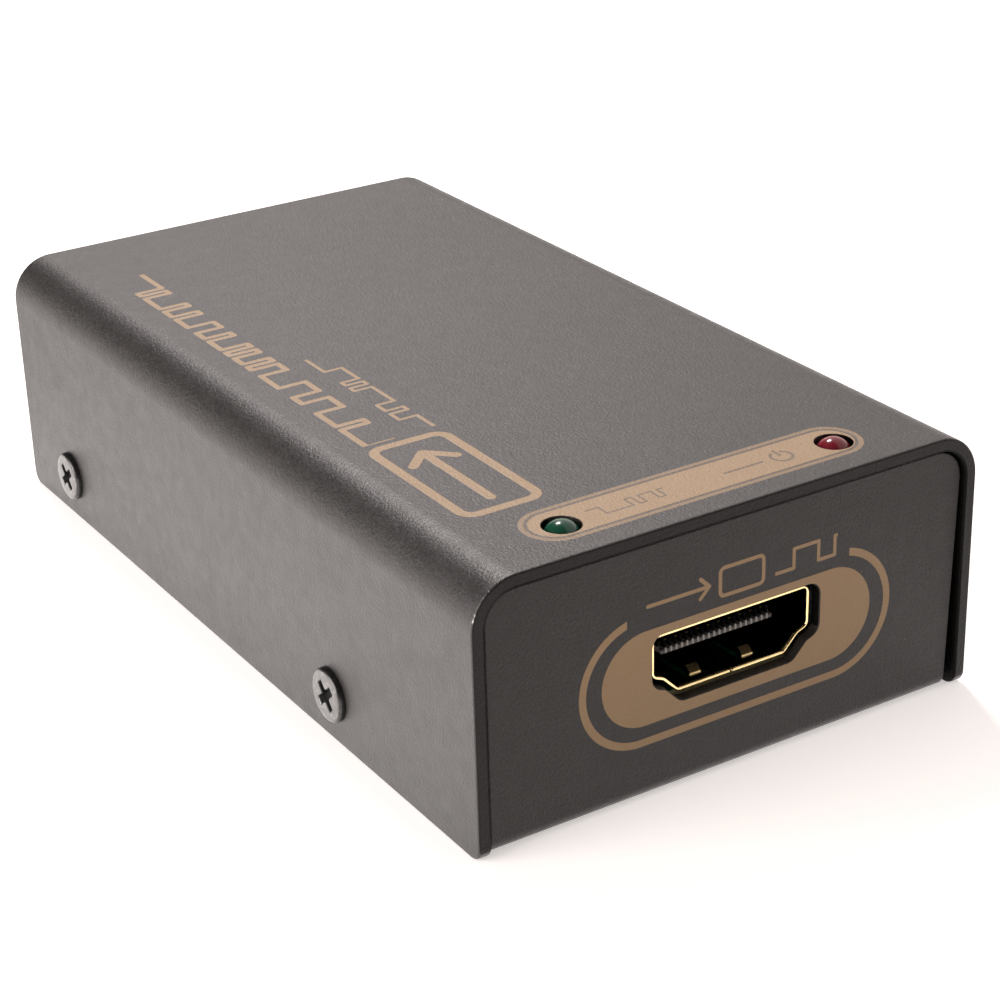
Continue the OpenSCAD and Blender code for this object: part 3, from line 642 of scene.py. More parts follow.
# %% [markdown]
# ## Printed marks
#
# The marks on the real case are screen-printed in one tan ink. An image texture could
# hold them, but signed distances are sharper and need no file: each shape is a distance
# in millimetres to a line or a box, and ink is where that distance is small. All the
# marks are plain pictograms and square pulse traces.

# %% Distances to printed shapes
INK_EDGE = 0.03


def inked(distance, reach):
    """1 where a distance is below reach, with a slightly soft edge."""
    return distance.step(reach - INK_EDGE, reach + INK_EDGE, 1.0, 0.0)


def box_distance(u, v, middle, half, corner):
    """Signed distance to a rounded box."""
    across = abs(u - middle[0]) - (half[0] - corner)
    along = abs(v - middle[1]) - (half[1] - corner)
    outside = across.most(0).length(along.most(0))
    return outside + across.most(along).least(0) - corner


def line_distance(u, v, start, end):
    """Distance to a straight stroke between two points."""
    run = Vector(end) - Vector(start)
    share = (u - start[0]) * (run.x / run.length_squared)
    share = share + (v - start[1]) * (run.y / run.length_squared)
    share = share.math("ADD", 0, clamp=True)
    return (u - start[0] - share * run.x).length(v - start[1] - share * run.y)


def within(value, low, high):
    """1 between two values."""
    middle, half = (low + high) / 2, (high - low) / 2
    return inked(abs(value - middle), half)


def pulse_trace(u, v, middle, swing, cell, stroke, seed):
    """A square pulse trace along u, whose level in each cell is random."""
    place = u.cells(cell)

    def level(shift):
        noise = place.node(
            "ShaderNodeTexWhiteNoise", {"noise_dimensions": "1D"}, W=place + (shift + seed)
        )
        return noise.math("GREATER_THAN", 0.5) * (2 * swing) - swing

    here = level(0)
    offset = v - middle
    flat = abs(offset - here)
    tall = abs(offset) - swing
    rise = (u - place * cell) + abs(here - level(-1)).step(0, swing, 9.0, 0.0)
    fall = (place + 1) * cell - u + abs(here - level(1)).step(0, swing, 9.0, 0.0)
    edge = rise.least(fall).most(0).length(tall.most(0))
    return inked(flat.least(edge), stroke / 2)


def arrow(u, v, tail, tip, barb):
    """Distance to an arrow drawn with three strokes."""
    run = (Vector(tip) - Vector(tail)).normalized()
    side = Vector((-run.y, run.x))
    base = Vector(tip) - run * barb
    shaft = line_distance(u, v, tail, tip)
    for sign in (-1, 1):
        shaft = shaft.least(line_distance(u, v, tuple(base + side * barb * sign), tip))
    return shaft


# %% [markdown]
# ## The coat
#
# The case has a dark, fine-grained coat over steel. Its grain is too small to model, so
# two sizes of noise drive a Bump node: a fine grain, and a slower ripple that makes the
# reflections uneven. A few pale specks are dust and pinholes, as the real one shows.

# %% Coat and ink
INK = rgba(0.295, 0.196, 0.108)


def coat(name, dark, pale, ink=None, bare=None, shine=0.5):
    """A powder coat. ink and bare make masks for the print and for worn spots."""
    finish = Finish(name)
    grain = finish.noise(0.24, detail=3.0, roughness=0.65)
    ripple = finish.noise(1.3, detail=2.0, seed=3.0)
    cloud = finish.noise(9.0, detail=3.0, seed=7.0)
    colour = mix_colour(grain.step(0.35, 0.7), rgba(*dark), rgba(*pale))
    colour = mix_colour(cloud.step(0.3, 0.8) * 0.35, colour, rgba(*[c * 0.72 for c in dark]))
    specks = finish.specks(2.2, 0.035, 1.0).most(finish.specks(0.8, 0.16, 5.0) * 0.7)
    colour = mix_colour(specks * 0.6, colour, rgba(0.42, 0.39, 0.37))
    rough = 0.35 + ripple.step(0.3, 0.7) * 0.07 + grain.step(0.3, 0.8) * 0.12
    height = grain + ripple * 0.3
    if ink is not None:
        printed = ink(finish) * (1 - finish.noise(0.25, 2.0, seed=9.0).step(0.70, 0.78) * 0.5)
        shade = mix_colour(grain.step(0.3, 0.75) * 0.3, INK, rgba(0.23, 0.153, 0.084))
        colour = mix_colour(printed, colour, shade)
        rough = rough + printed * 0.06
        height = height + printed * 0.25
    if bare is not None:
        worn = bare(finish)
        colour = mix_colour(worn, colour, rgba(0.80, 0.79, 0.77))
        rough = rough - worn * 0.1
    return finish.done(
        Base_Color=colour, Roughness=rough, Normal=finish.bump(height, 0.065),
        fixed={"Specular_IOR_Level": shine},
    )


# %% [markdown]
# ## What is printed
#
# The pill round the lights is solid ink with dark signs left free in it, inside a thin
# ring. Along the top run two pulse traces and a screen with an arrow into it. The
# front has a pill and an open ring round its socket. Each function returns a mask from
# 0 to 1, so the coat can lay the ink on without a second surface.

# %% Print round the lights
def pill_print(finish):
    """A ringed pill round the lights, with small dark signs in it."""
    x, y = finish.x, finish.y
    pill = (abs(x + 0.3) - 12.45).most(0).length(y + 35.8)
    ring = inked(pill, 2.72) * (1 - inked(pill, 2.3))
    fill = inked(pill, 2.05)
    activity = pulse_trace(x, y, -35.85, 0.6, 0.58, 0.2, 11) * within(x, -9.9, -3.0)
    standby = abs((x - 7.6).length(y + 35.9) - 0.85)
    standby = inked(standby, 0.13) * (1 - within(x, 7.25, 7.95) * y.step(-35.5, -35.4))
    standby = standby.most(inked(line_distance(x, y, (7.6, -35.7), (7.6, -34.8)), 0.13))
    leader = inked(line_distance(x, y, (2.3, -35.9), (5.8, -35.9)), 0.13)
    marks = activity.most(standby).most(leader)
    return (ring * 0.7).most(fill * (1 - marks * 0.6)).most(inked(pill, 2.5) * 0.22)


# %% Print along the top
def picture_print(finish):
    """A screen with an arrow into it, and two pulse traces along the top."""
    x, y = finish.x, finish.y
    screen = inked(abs(box_distance(x, y, (-14.05, -24.0), (3.25, 7.1), 1.1)), 0.42)
    entry = inked(arrow(x, y, (-14.05, -29.2), (-14.05, -19.4), 1.9), 0.42)
    long_trace = pulse_trace(y, x, -15.8, 1.2, 0.8, 0.54, 40) * within(y, -15.9, 30.0)
    short_trace = pulse_trace(y, x, -11.5, 0.8, 0.72, 0.34, 97) * within(y, -15.6, 2.6)
    return screen.most(entry).most(long_trace).most(short_trace)


# %% Print on the front panel
def front_print(finish):
    """The marks on the front panel: a filled pill in an open ring, and pictograms."""
    x, z = finish.x, finish.z
    fill = inked((abs(x - 0.5) - 8.575).most(0).length(z - 10.325), 3.93)
    loop = (abs(x - 0.5) - 9.0).most(0).length(z - 10.2)
    ring = inked(loop, 5.5) * (1 - inked(loop, 4.87))
    ring = ring * (1 - within(x, -9.75, 10.8) * z.step(14.6, 14.7))
    screen = inked(abs(box_distance(x, z, (0.6, 16.2), (2.0, 1.15), 0.4)), 0.16)
    entry = inked(arrow(x, z, (-7.9, 16.2), (-2.4, 16.2), 0.8), 0.16)
    trace = pulse_trace(x, z, 16.2, 0.8, 0.78, 0.3, 23) * within(x, 3.7, 9.6)
    return fill.most(ring).most(screen).most(entry).most(trace)


# %% [markdown]
# ## Coats, face by face
#
# One shader could hold every mask, but it would be slow. The faces are split instead:
# only those that carry print get a shader with print in it. Cut edges get a thinner,
# duller coat. The hidden inside is painted nearly black as shade, which draws the thin
# dark line round the front panel, and the walls of the socket's cut-out get the same
# painted shade.

# %% Worn corner
def cover_wear(finish):
    """Spots rubbed bare at the cover's front left corner."""
    corner = line_distance(finish.x, finish.z, (-22.7, 19.8), (-21.3, 21.9))
    rub = finish.noise(0.45, 2.0, seed=4.0).step(0.5, 0.6)
    near = corner.step(0.2, 0.5, 1.0, 0.0) * finish.y.step(-40.62, -40.5, 1.0, 0.0)
    return rub * near


# %% The coats
COVER_DARK, COVER_PALE = (0.014, 0.0128, 0.0122), (0.040, 0.0365, 0.035)
CHASSIS_DARK, CHASSIS_PALE = (0.014, 0.0128, 0.0122), (0.034, 0.031, 0.0298)
# SHADE is painted shade: the near black of the cover's inside and the socket's cut-out walls
SHADE = (0.004, 0.0038, 0.0036)
cover_coats = [
    coat("cover_coat", COVER_DARK, COVER_PALE, None, cover_wear),
    coat("cover_coat_pill", COVER_DARK, COVER_PALE, pill_print),
    coat("cover_coat_pictures", COVER_DARK, COVER_PALE, picture_print),
    coat("cover_coat_cut_edge", CHASSIS_DARK, CHASSIS_DARK, shine=0.13),
    # painted shade: the cover's inside is coloured near black
    coat("cover_coat_inside", SHADE, SHADE, shine=0.05),
]
PLAIN, PILL, PICTURES, CUT_EDGE, INSIDE_PAINTED_SHADE = range(5)
chassis_coats = [
    coat("chassis_coat", CHASSIS_DARK, CHASSIS_PALE, shine=0.22),
    coat("chassis_coat_front", CHASSIS_DARK, CHASSIS_PALE, front_print, shine=0.22),
    # painted shade: the walls of the socket's cut-out are coloured near black
    coat("chassis_coat_port", SHADE, SHADE, shine=0.05),
]
FRONT, PORT_EDGE_PAINTED_SHADE = 1, 2
print("coats:", [finish.name for finish in cover_coats + chassis_coats])


# %% A coat for each face
def choose_coats(piece, choose):
    """Gives each face the coat that its place calls for."""
    for face in piece.data.polygons:
        face.material_index = choose(face.center / MM, face.normal)


def cover_choice(place, normal):
    # faces that look into the case get the painted shade coat
    if normal.x * place.x + normal.z * (place.z - CASE_H / 2) < -1:
        return INSIDE_PAINTED_SHADE
    if abs(place.y) > CASE_L / 2 - 0.06:
        return CUT_EDGE
    if place.z < CASE_H - 0.02:
        return PLAIN
    if place.y < PILL_EDGE:
        return PILL
    return PICTURES if place.x < PICTURE_EDGE else PLAIN


def chassis_choice(place, normal):
    # the cut-out's side walls get the painted shade coat
    in_port = abs(place.x - PORT_X) < 8 and 7 < place.z < 14 and place.y < -39
    if in_port and abs(normal.y) < 0.5 and normal.z < 0.3:
        return PORT_EDGE_PAINTED_SHADE
    return FRONT if place.y < PANEL_Y + 0.02 else PLAIN


finish_piece(top_cover, "case", cover_coats, "cover_coat", "top_cover")
finish_piece(base_chassis, "case", chassis_coats, "chassis_coat", "base_chassis")
choose_coats(top_cover, cover_choice)
choose_coats(base_chassis, chassis_choice)

# %% [markdown]
# ## Softened copies of CAD solids
#
# Many small parts are right in shape but have knife edges, as CAD solids do. A copy of
# the mesh is merged, its flat faces are joined, and a Bevel modifier rounds its edges.
# Harden Normals keeps the flats flat, so the bevel catches light as a real edge does.

# %% Settling and softening
def settled(piece):
    """Turns a piece's modifiers into plain mesh."""
    bpy.context.view_layer.update()
    graph = bpy.context.evaluated_depsgraph_get()
    mesh = bpy.data.meshes.new_from_object(piece.evaluated_get(graph), depsgraph=graph)
    piece.modifiers.clear()
    old = piece.data
    piece.data = mesh
    bpy.data.meshes.remove(old)
    mesh.name = piece.name
    return piece


def rounded(piece, width, steps=2, angle=32):
    """Rounds a piece's sharp edges by a width in millimetres."""
    for face in piece.data.polygons:
        face.use_smooth = True
    bevel = piece.modifiers.new("round", "BEVEL")
    bevel.width = width * MM
    bevel.segments = steps
    bevel.limit_method = "ANGLE"
    bevel.angle_limit = math.radians(angle)
    bevel.harden_normals = True
    return settled(piece)


def new_piece(name, bm):
    """An object from a bmesh in metres."""
    mesh = bpy.data.meshes.new(name)
    bm.to_mesh(mesh)
    bm.free()
    piece = bpy.data.objects.new(name, mesh)
    bpy.context.scene.collection.objects.link(piece)
    return piece


def softened(node, width, steps=2, angle=32):
    """A rounded copy of a CAD node."""
    bm = bmesh.new()
    bm.from_mesh(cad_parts[node].data)
    bmesh.ops.remove_doubles(bm, verts=bm.verts[:], dist=0.0008 * MM)
    bmesh.ops.dissolve_limit(
        bm, angle_limit=math.radians(1), verts=bm.verts[:], edges=bm.edges[:]
    )
    return rounded(new_piece(node + "_rounded", bm), width, steps, angle)


# %% [markdown]
# ## Metals, plastics and the rest
#
# Each remaining finish is a short function. Metals differ in colour, in how rough they
# are and in the scratches or tarnish they carry. Plastics and resins have a low relief.

# %% Small finishes
def metal(name, light, dark, rough, grain=0.5, tarnish=0.5, depth=0.01):
    """A metal with cloudy tarnish and a fine grain."""
    finish = Finish(name)
    cloud = finish.noise(2.2, 3.0, seed=2.0)
    fine = finish.noise(grain, 3.0, roughness=0.6, seed=6.0)
    colour = mix_colour(cloud.step(0.35, 0.75) * tarnish, rgba(*light), rgba(*dark))
    return finish.done(
        fixed={"Metallic": 1.0}, Base_Color=colour,
        Roughness=rough + fine.step(0.3, 0.8) * 0.14, Normal=finish.bump(fine, depth),
    )


def plastic(name, base, rough, grain=0.4, depth=0.012, spread=0.25):
    """A moulded plastic or a resin with a slight grain."""
    finish = Finish(name)
    cloud = finish.noise(3.0, 2.0, seed=2.0)
    fine = finish.noise(grain, 3.0, roughness=0.6, seed=6.0)
    pale = rgba(*[min(1.0, c * (1 + spread)) for c in base])
    colour = mix_colour(cloud.step(0.3, 0.7) * 0.6 + fine * 0.3, rgba(*base), pale)
    return finish.done(
        Base_Color=colour, Roughness=rough + fine.step(0.3, 0.8) * 0.12,
        Normal=finish.bump(fine, depth),
    )


zinc_steel = metal("zinc_steel", (0.62, 0.63, 0.64), (0.45, 0.44, 0.42), 0.3)
nickel = metal("nickel_shield", (0.40, 0.39, 0.37), (0.26, 0.25, 0.235), 0.3, 0.8, 0.7, 0.008)
gold = metal("gold_contact", (0.92, 0.68, 0.32), (0.7, 0.48, 0.2), 0.2, 0.4, 0.5, 0.003)
# painted shade: the socket's contacts get a near black gold, as they sit in shade inside the shell
painted_shade_gold = metal("gold_in_shade", (0.09, 0.06, 0.03), (0.05, 0.035, 0.02), 0.4, 0.4, 0.5, 0.003)
tinned = metal("tinned_metal", (0.7, 0.7, 0.69), (0.55, 0.54, 0.52), 0.35, 0.3)
aluminium = metal("aluminium_can", (0.82, 0.82, 0.82), (0.7, 0.7, 0.7), 0.28, 0.2, 0.3, 0.004)
black_plastic = plastic("black_plastic", (0.018, 0.018, 0.019), 0.42)
white_plastic = plastic("white_plastic", (0.78, 0.77, 0.73), 0.45)
chip_resin = plastic("chip_resin", (0.022, 0.022, 0.023), 0.5, 0.18, 0.02)
ferrite = plastic("ferrite", (0.05, 0.048, 0.05), 0.55, 0.2, 0.03)
ceramic = plastic("ceramic", (0.46, 0.36, 0.24), 0.4, 0.3, 0.01)
print("finishes so far:", len(bpy.data.materials))


def laminate():
    """Green solder mask over copper traces, with a bare laminate edge."""
    finish = Finish("board_laminate")
    x, y = finish.x, finish.y
    lane = (x + finish.noise(14.0, 0.0, seed=1.0) * 9).math("PINGPONG", 0.42)
    other = (y + x * 0.35 + finish.noise(11.0, 0.0, seed=5.0) * 8).math("PINGPONG", 0.6)
    zone = finish.noise(6.0, 0.0, seed=8.0).step(0.49, 0.5)
    traces = (1 - lane.step(0.12, 0.15)) * zone
    traces = traces.most((1 - other.step(0.13, 0.17)) * (1 - zone))
    board_low, board_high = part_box("main_board")
    face = finish.z.step(board_high.z / MM - 0.05, board_high.z / MM - 0.02)
    face = face.most(1 - finish.z.step(board_low.z / MM + 0.02, board_low.z / MM + 0.05))
    mask = mix_colour(traces, rgba(0.012, 0.10, 0.045), rgba(0.03, 0.2, 0.085))
    edge = mix_colour(finish.noise(0.4), rgba(0.35, 0.3, 0.16), rgba(0.5, 0.44, 0.26))
    return finish.done(
        Base_Color=mix_colour(face, edge, mask), Roughness=0.62 - face * 0.32,
        Normal=finish.bump(traces, 0.03),
    )


board_laminate = laminate()

# %% [markdown]
# ## The video socket's shell
#
# The shell is stamped from thin gilded sheet, wrapped round a former, and closed by a
# seam under its middle. Four spring fingers are cut out of its walls. It is built the
# same way: one strip with slots round the fingers, wrapped along the socket's outline.
# Its mouth is fully rounded, which gives the thin bright line round the opening.

# %% Shell
SHELL_T = 0.3
SHELL_EDGE = 0.14
SHELL_FRONT = -39.6
SHELL_LENGTH = 11.2
SEAM = 0.05
FINGER_X, FINGER_HALF, FINGER_SLIT = 2.45, 0.75, 0.25
FINGER_ROOT, FINGER_BUMP, FINGER_TIP = 6.2, 1.8, 1.25
FINGER_RISE, FINGER_CURL = 0.4, 0.5
LEG_W, LEG_INS, LEG_FOOT = 1.0, (3.2, 9.0), 5.0
LEG_X, LEG_HALF, LEG_RISE = 7.27, 0.12, 2.9


def shell_path():
    """The outline once round from the seam: (distance, point, outward normal)."""
    points = corner_path(port_corners(0)[::-1])
    low = [i for i, (p, _) in enumerate(points) if p.y < 1e-6]
    start = max(i for i in low if points[i][0].x < 0) + 1
    points = points[start:] + points[:start]
    if points[0][0].x < 0:
        points.append(points.pop(0))
    seam = (Vector((0.0, 0.0)), Vector((0.0, -1.0)))
    points = [seam] + points + [seam]
    path, run = [], 0.0
    for place, (point, normal) in enumerate(points):
        if place:
            run += (point - points[place - 1][0]).length
        path.append((run, point, normal))
    return path


def finger_slot(middle):
    """The U-shaped slot that frees one finger, as a clockwise hole."""
    inner, outer = FINGER_HALF, FINGER_HALF + FINGER_SLIT
    root, tip = SHELL_FRONT + FINGER_ROOT, SHELL_FRONT + FINGER_TIP
    corners = [
        (-outer, root), (-outer, tip - FINGER_SLIT), (outer, tip - FINGER_SLIT),
        (outer, root), (inner, root), (inner, tip), (-inner, tip), (-inner, root),
    ]
    corners = [(middle + x, y, 0.1) for x, y in corners]
    return corner_loop(corners, steps=3)


def signed_area(loop):
    return sum(a.cross(b) for a, b in zip(loop, loop[1:] + loop[:1])) / 2


def finger_lift(inward):
    """How far a finger leans into the shell at a distance behind the mouth."""
    if inward > FINGER_ROOT or inward < FINGER_TIP - FINGER_SLIT / 2:
        return 0.0
    if inward > FINGER_BUMP:
        share = (FINGER_ROOT - inward) / (FINGER_ROOT - FINGER_BUMP)
        return FINGER_RISE * share * share * (3 - 2 * share)
    share = (FINGER_BUMP - inward) / (FINGER_BUMP - FINGER_TIP)
    return FINGER_RISE - FINGER_CURL * share * (0.35 + 0.65 * share)


# %% Wrapping the shell
def make_shell():
    """The wrapped shell with its fingers and legs."""
    path = shell_path()
    total = path[-1][0]
    top_middle = next(run + p.x for run, p, n in path if n.y > 0.999 and p.x > 0)
    fingers = [FINGER_X, total - FINGER_X, top_middle - FINGER_X, top_middle + FINGER_X]
    half_seam = SEAM / 2
    front, back = SHELL_FRONT, SHELL_FRONT + SHELL_LENGTH
    outline = corner_loop([
        (half_seam, front, 0.2), (total - half_seam, front, 0.2),
        (total - half_seam, back, 0.2), (half_seam, back, 0.2),
    ], steps=3)
    slots = [finger_slot(s) for s in fingers]
    slots = [s if signed_area(s) < 0 else s[::-1] for s in slots]
    bm = blank([outline] + slots, SHELL_T, SHELL_EDGE)
    slices(bm, 0, [run for run, _, _ in path[1:-1]])
    slices(bm, 1, [front + FINGER_TIP + step * 0.14 for step in range(6)])
    slices(bm, 1, [front + FINGER_BUMP + step * 0.4 for step in range(1, 11)])

    def place(point, normal):
        lift = 0.0
        if any(abs(point.x - s) < FINGER_HALF + FINGER_SLIT / 2 for s in fingers):
            lift = finger_lift(point.y - front)
        run = min(max(point.x, 0), total)
        index = next(i for i in range(1, len(path)) if path[i][0] >= run - 1e-9)
        (a, p, n), (b, q, m) = path[index - 1], path[index]
        share = (run - a) / (b - a)
        base = p.lerp(q, share)
        out = n.lerp(m, share).normalized()
        along = Vector((-out.y, out.x))
        base = base - out * (point.z + lift)
        spot = Vector((PORT_X + base.x, point.y, PORT_Z + base.y))
        flat = along * normal.x - out * normal.z
        return spot, Vector((flat.x, normal.y, flat.y))

    return finished_sheet("video_socket_shell_wrapped", bm, place)


video_shell = make_shell()


# %% Legs
def add_box(bm, low, high):
    """A closed box between two corners, in millimetres, into a mesh in metres."""
    made = bmesh.ops.create_cube(bm, size=1)["verts"]
    low, high = Vector(low) * MM, Vector(high) * MM
    for vert in made:
        share = vert.co + Vector((0.5, 0.5, 0.5))
        vert.co = Vector([l + s * (h - l) for l, s, h in zip(low, share, high)])


def make_legs():
    """The shell's four legs, soldered into the board's slots."""
    bm = bmesh.new()
    for side in (-1, 1):
        for inward in LEG_INS:
            x, y = PORT_X + side * LEG_X, SHELL_FRONT + inward
            add_box(
                bm, (x - LEG_HALF, y - LEG_W / 2, LEG_FOOT),
                (x + LEG_HALF, y + LEG_W / 2, PORT_Z + LEG_RISE),
            )
    return rounded(new_piece("video_socket_legs", bm), 0.08)


# %% Gilding
def gilt():
    """Polished gilding at the mouth and on the fingers' bumps, painted near black inside as shade.
    """
    finish = Finish("shell_gilt")
    inward = finish.y - SHELL_FRONT
    fine = finish.noise(0.5, 2.0, seed=6.0)
    # painted shade: past the mouth the gilding turns near black, starting further back on the
    # lower lip
    reach = finish.z.step(PORT_Z - 1.2, PORT_Z + 1.2, 0.4, 0.06)
    deep = (inward - reach).step(0, 0.2)
    lower_lip = finish.z.step(PORT_Z - 1.2, PORT_Z + 1.2, 1.0, 0.0) * (1 - deep)
    near = abs(finish.x - PORT_X) - FINGER_X
    bump = inked(abs(near), 0.5) * inked(abs(inward - (FINGER_BUMP + FINGER_TIP) / 2), 0.42)
    colour = mix_colour(fine.step(0.35, 0.75) * 0.5, rgba(1.0, 0.80, 0.42), rgba(0.78, 0.55, 0.24))
    # the painted shade leaves the fingers' bumps their gold
    colour = mix_colour(deep * (1 - bump), colour, rgba(0.012, 0.009, 0.006))
    return finish.done(
        fixed={"Metallic": 1.0}, Base_Color=colour,
        Roughness=0.12 + fine.step(0.3, 0.8) * 0.12 + bump.most(lower_lip) * 0.22,
        Normal=finish.bump(fine, 0.004),
    )


plated_shell = gilt()
finish_piece(video_shell, "case", plated_shell, "plated_shell", "video_socket_shell")
finish_piece(make_legs(), "case", tinned, "plated_shell")

# %% [markdown]
# ## The tongue and its contacts
#
# A comb of thin plastic ribs parts the contacts at the tongue's tip. The ribs and the
# nineteen contacts are the same piece many times over, so Geometry Nodes place them
# along a line, and the result is kept as plain mesh.

# %% Trees that place copies
def tree_with_inputs(name, inputs):
    """A Geometry Nodes tree, its inputs' identifiers, and a wire from each input."""
    tree = bpy.data.node_groups.new(name, "GeometryNodeTree")
    made = [
        tree.interface.new_socket(label, in_out="INPUT", socket_type="NodeSocket" + kind)
        for label, kind in inputs.items()
    ]
    tree.interface.new_socket("Geometry", in_out="OUTPUT", socket_type="NodeSocketGeometry")
    given = tree.nodes.new("NodeGroupInput")
    wires = [Wire(tree, given.outputs[label]) for label in inputs]
    return tree, [socket.identifier for socket in made], wires


def copies_at(tree, points, shape, material, **turn):
    """Stands a copy of a shape on each point, as real mesh with its material."""
    one = add_node(
        tree, "GeometryNodeObjectInfo", {"transform_space": "ORIGINAL"}, "Geometry", Object=shape
    )
    copies = add_node(tree, "GeometryNodeInstanceOnPoints", Points=points, Instance=one, **turn)
    real = add_node(tree, "GeometryNodeRealizeInstances", Geometry=copies)
    done = add_node(tree, "GeometryNodeSetMaterial", Geometry=real, Material=material)
    plug(tree, tree.nodes.new("NodeGroupOutput").inputs[0], done)


def plain_piece(name, tree, identifiers, values, shape):
    """The tree's result as a plain mesh. The shape that it copied is removed."""
    piece = new_piece(name, bmesh.new())
    modifier = piece.modifiers.new("copies", "NODES")
    modifier.node_group = tree
    for identifier, value in zip(identifiers, values):
        modifier[identifier] = value
    settled(piece)
    bpy.data.objects.remove(shape)
    return piece


# %% Repeats along a line
def row_piece(name, shape, material, count, pitch, centre):
    """A row of copies, centred on a point. Lengths are in millimetres."""
    inputs = {"Count": "Int", "Pitch": "Float", "Centre": "Vector"}
    tree, identifiers, (many, apart, middle) = tree_with_inputs(name + "_tree", inputs)
    step = add_node(tree, "ShaderNodeCombineXYZ", X=apart)
    first = step.node("ShaderNodeCombineXYZ", X=(many - 1) * apart * -0.5)
    first = first.node("ShaderNodeVectorMath", {"operation": "ADD"}, i0=first, i1=middle)
    line = add_node(
        tree, "GeometryNodeMeshLine", {"mode": "OFFSET"}, Count=many, Start_Location=first,
        Offset=step,
    )
    copies_at(tree, line, shape, material)
    values = (count, pitch * MM, [c * MM for c in centre])
    return plain_piece(name, tree, identifiers, values, shape)


def joined(first, *others):
    """Puts other pieces' meshes into the first."""
    bm = bmesh.new()
    for piece in (first, *others):
        bm.from_mesh(piece.data)
    bm.to_mesh(first.data)
    bm.free()
    for piece in others:
        bpy.data.objects.remove(piece)
    return first


def box_piece(name, low, high, round_width):
    bm = bmesh.new()
    add_box(bm, low, high)
    return rounded(new_piece(name, bm), round_width)


# %% Tongue, ribs and contacts
BLOCK_FRONT, BLOCK_BACK, BLOCK_INSET = -32.8, -28.1, 0.35
TONGUE_HALF, TONGUE_TIP = 5.2, -37.75
TONGUE_LOW, TONGUE_TOP = 10.15, 11.05
COMB_D, COMB_LIP = 0.45, 0.35
RIB_W, CONTACT_COUNT, CONTACT_PITCH, CONTACT_W = 0.2, 19, 0.5, 0.3
CONTACT_T, CONTACT_FOOT = 0.2, 1.2
UPPER_CONTACTS = 10
BOARD_TOP = 7.6


def block_place(point, normal):
    """Stands the insulator's plate upright in the shell."""
    spot = Vector((PORT_X + point.x, BLOCK_FRONT + point.z, PORT_Z + point.y))
    return spot, Vector((normal.x, normal.z, normal.y))


def make_insulator():
    """The block, the tongue's body and its lip in one moulding."""
    outline = corner_loop(port_corners(-BLOCK_INSET)[::-1])
    block = finished_sheet(
        "video_socket_block", blank([outline], BLOCK_BACK - BLOCK_FRONT, 0.08), block_place
    )
    x = PORT_X
    comb_back = TONGUE_TIP + COMB_D
    body = box_piece(
        "tongue_body", (x - TONGUE_HALF, comb_back, TONGUE_LOW),
        (x + TONGUE_HALF, BLOCK_FRONT + 0.4, TONGUE_TOP), 0.04,
    )
    lip = box_piece(
        "tongue_lip", (x - TONGUE_HALF, TONGUE_TIP, TONGUE_LOW),
        (x + TONGUE_HALF, comb_back + 0.1, TONGUE_LOW + COMB_LIP), 0.06,
    )
    return block, joined(body, lip)


# %% Contacts
def make_contact(name, top):
    """One contact: a strip along the tongue, a leg down behind the block, and a foot."""
    back = BLOCK_BACK
    bm = bmesh.new()
    half = CONTACT_W / 2
    proud = 0.02
    low = top - CONTACT_T
    add_box(bm, (-half, TONGUE_TIP + COMB_D, low), (half, back, top + proud))
    add_box(bm, (-half, back, BOARD_TOP), (half, back + CONTACT_T, top))
    add_box(bm, (-half, back, BOARD_TOP), (half, back + CONTACT_FOOT, BOARD_TOP + CONTACT_T))
    return rounded(new_piece(name, bm), 0.03)


# %% Ribs of the comb
def make_rib(name):
    """One rib of the comb, whose top slopes down to the tongue's tip."""
    low, slope = TONGUE_LOW + COMB_LIP - 0.05, 0.32
    side = [
        (TONGUE_TIP + 0.02, low), (TONGUE_TIP + COMB_D + 0.05, low),
        (TONGUE_TIP + COMB_D + 0.05, TONGUE_TOP - 0.01), (TONGUE_TIP + 0.3, TONGUE_TOP - 0.01),
        (TONGUE_TIP + 0.02, TONGUE_TOP - slope),
    ]
    bm = bmesh.new()
    rows = [[bm.verts.new((x * MM, y * MM, z * MM)) for y, z in side]
            for x in (-RIB_W / 2, RIB_W / 2)]
    skin(bm, rows)
    bm.faces.new(rows[0])
    bm.faces.new(list(reversed(rows[1])))
    bmesh.ops.recalc_face_normals(bm, faces=bm.faces[:])
    return rounded(new_piece(name, bm), 0.04)


# %% The comb's plastic
def comb_plastic():
    """Black moulding, grey along the tongue's lower front edge, with paler ribs there."""
    finish = Finish("tongue_grey")
    fine = finish.noise(0.3, 3.0, seed=6.0)
    # a grey band along the tongue's lower front edge, paler on the ribs
    lower_front_band = finish.z.step(TONGUE_LOW + 0.4, TONGUE_LOW + 0.5, 1.0, 0.0)
    half_pitch = CONTACT_PITCH / 2
    rib = inked(abs((finish.x - PORT_X).math("PINGPONG", half_pitch) - half_pitch), 0.08)
    colour = mix_colour(lower_front_band, rgba(0.003, 0.003, 0.003), rgba(0.12, 0.115, 0.11))
    colour = mix_colour(lower_front_band * rib, colour, rgba(0.42, 0.40, 0.37))
    return finish.done(
        fixed={"Specular_IOR_Level": 0.06}, Base_Color=colour,
        Roughness=0.4 + fine * 0.1, Normal=finish.bump(fine, 0.004),
    )


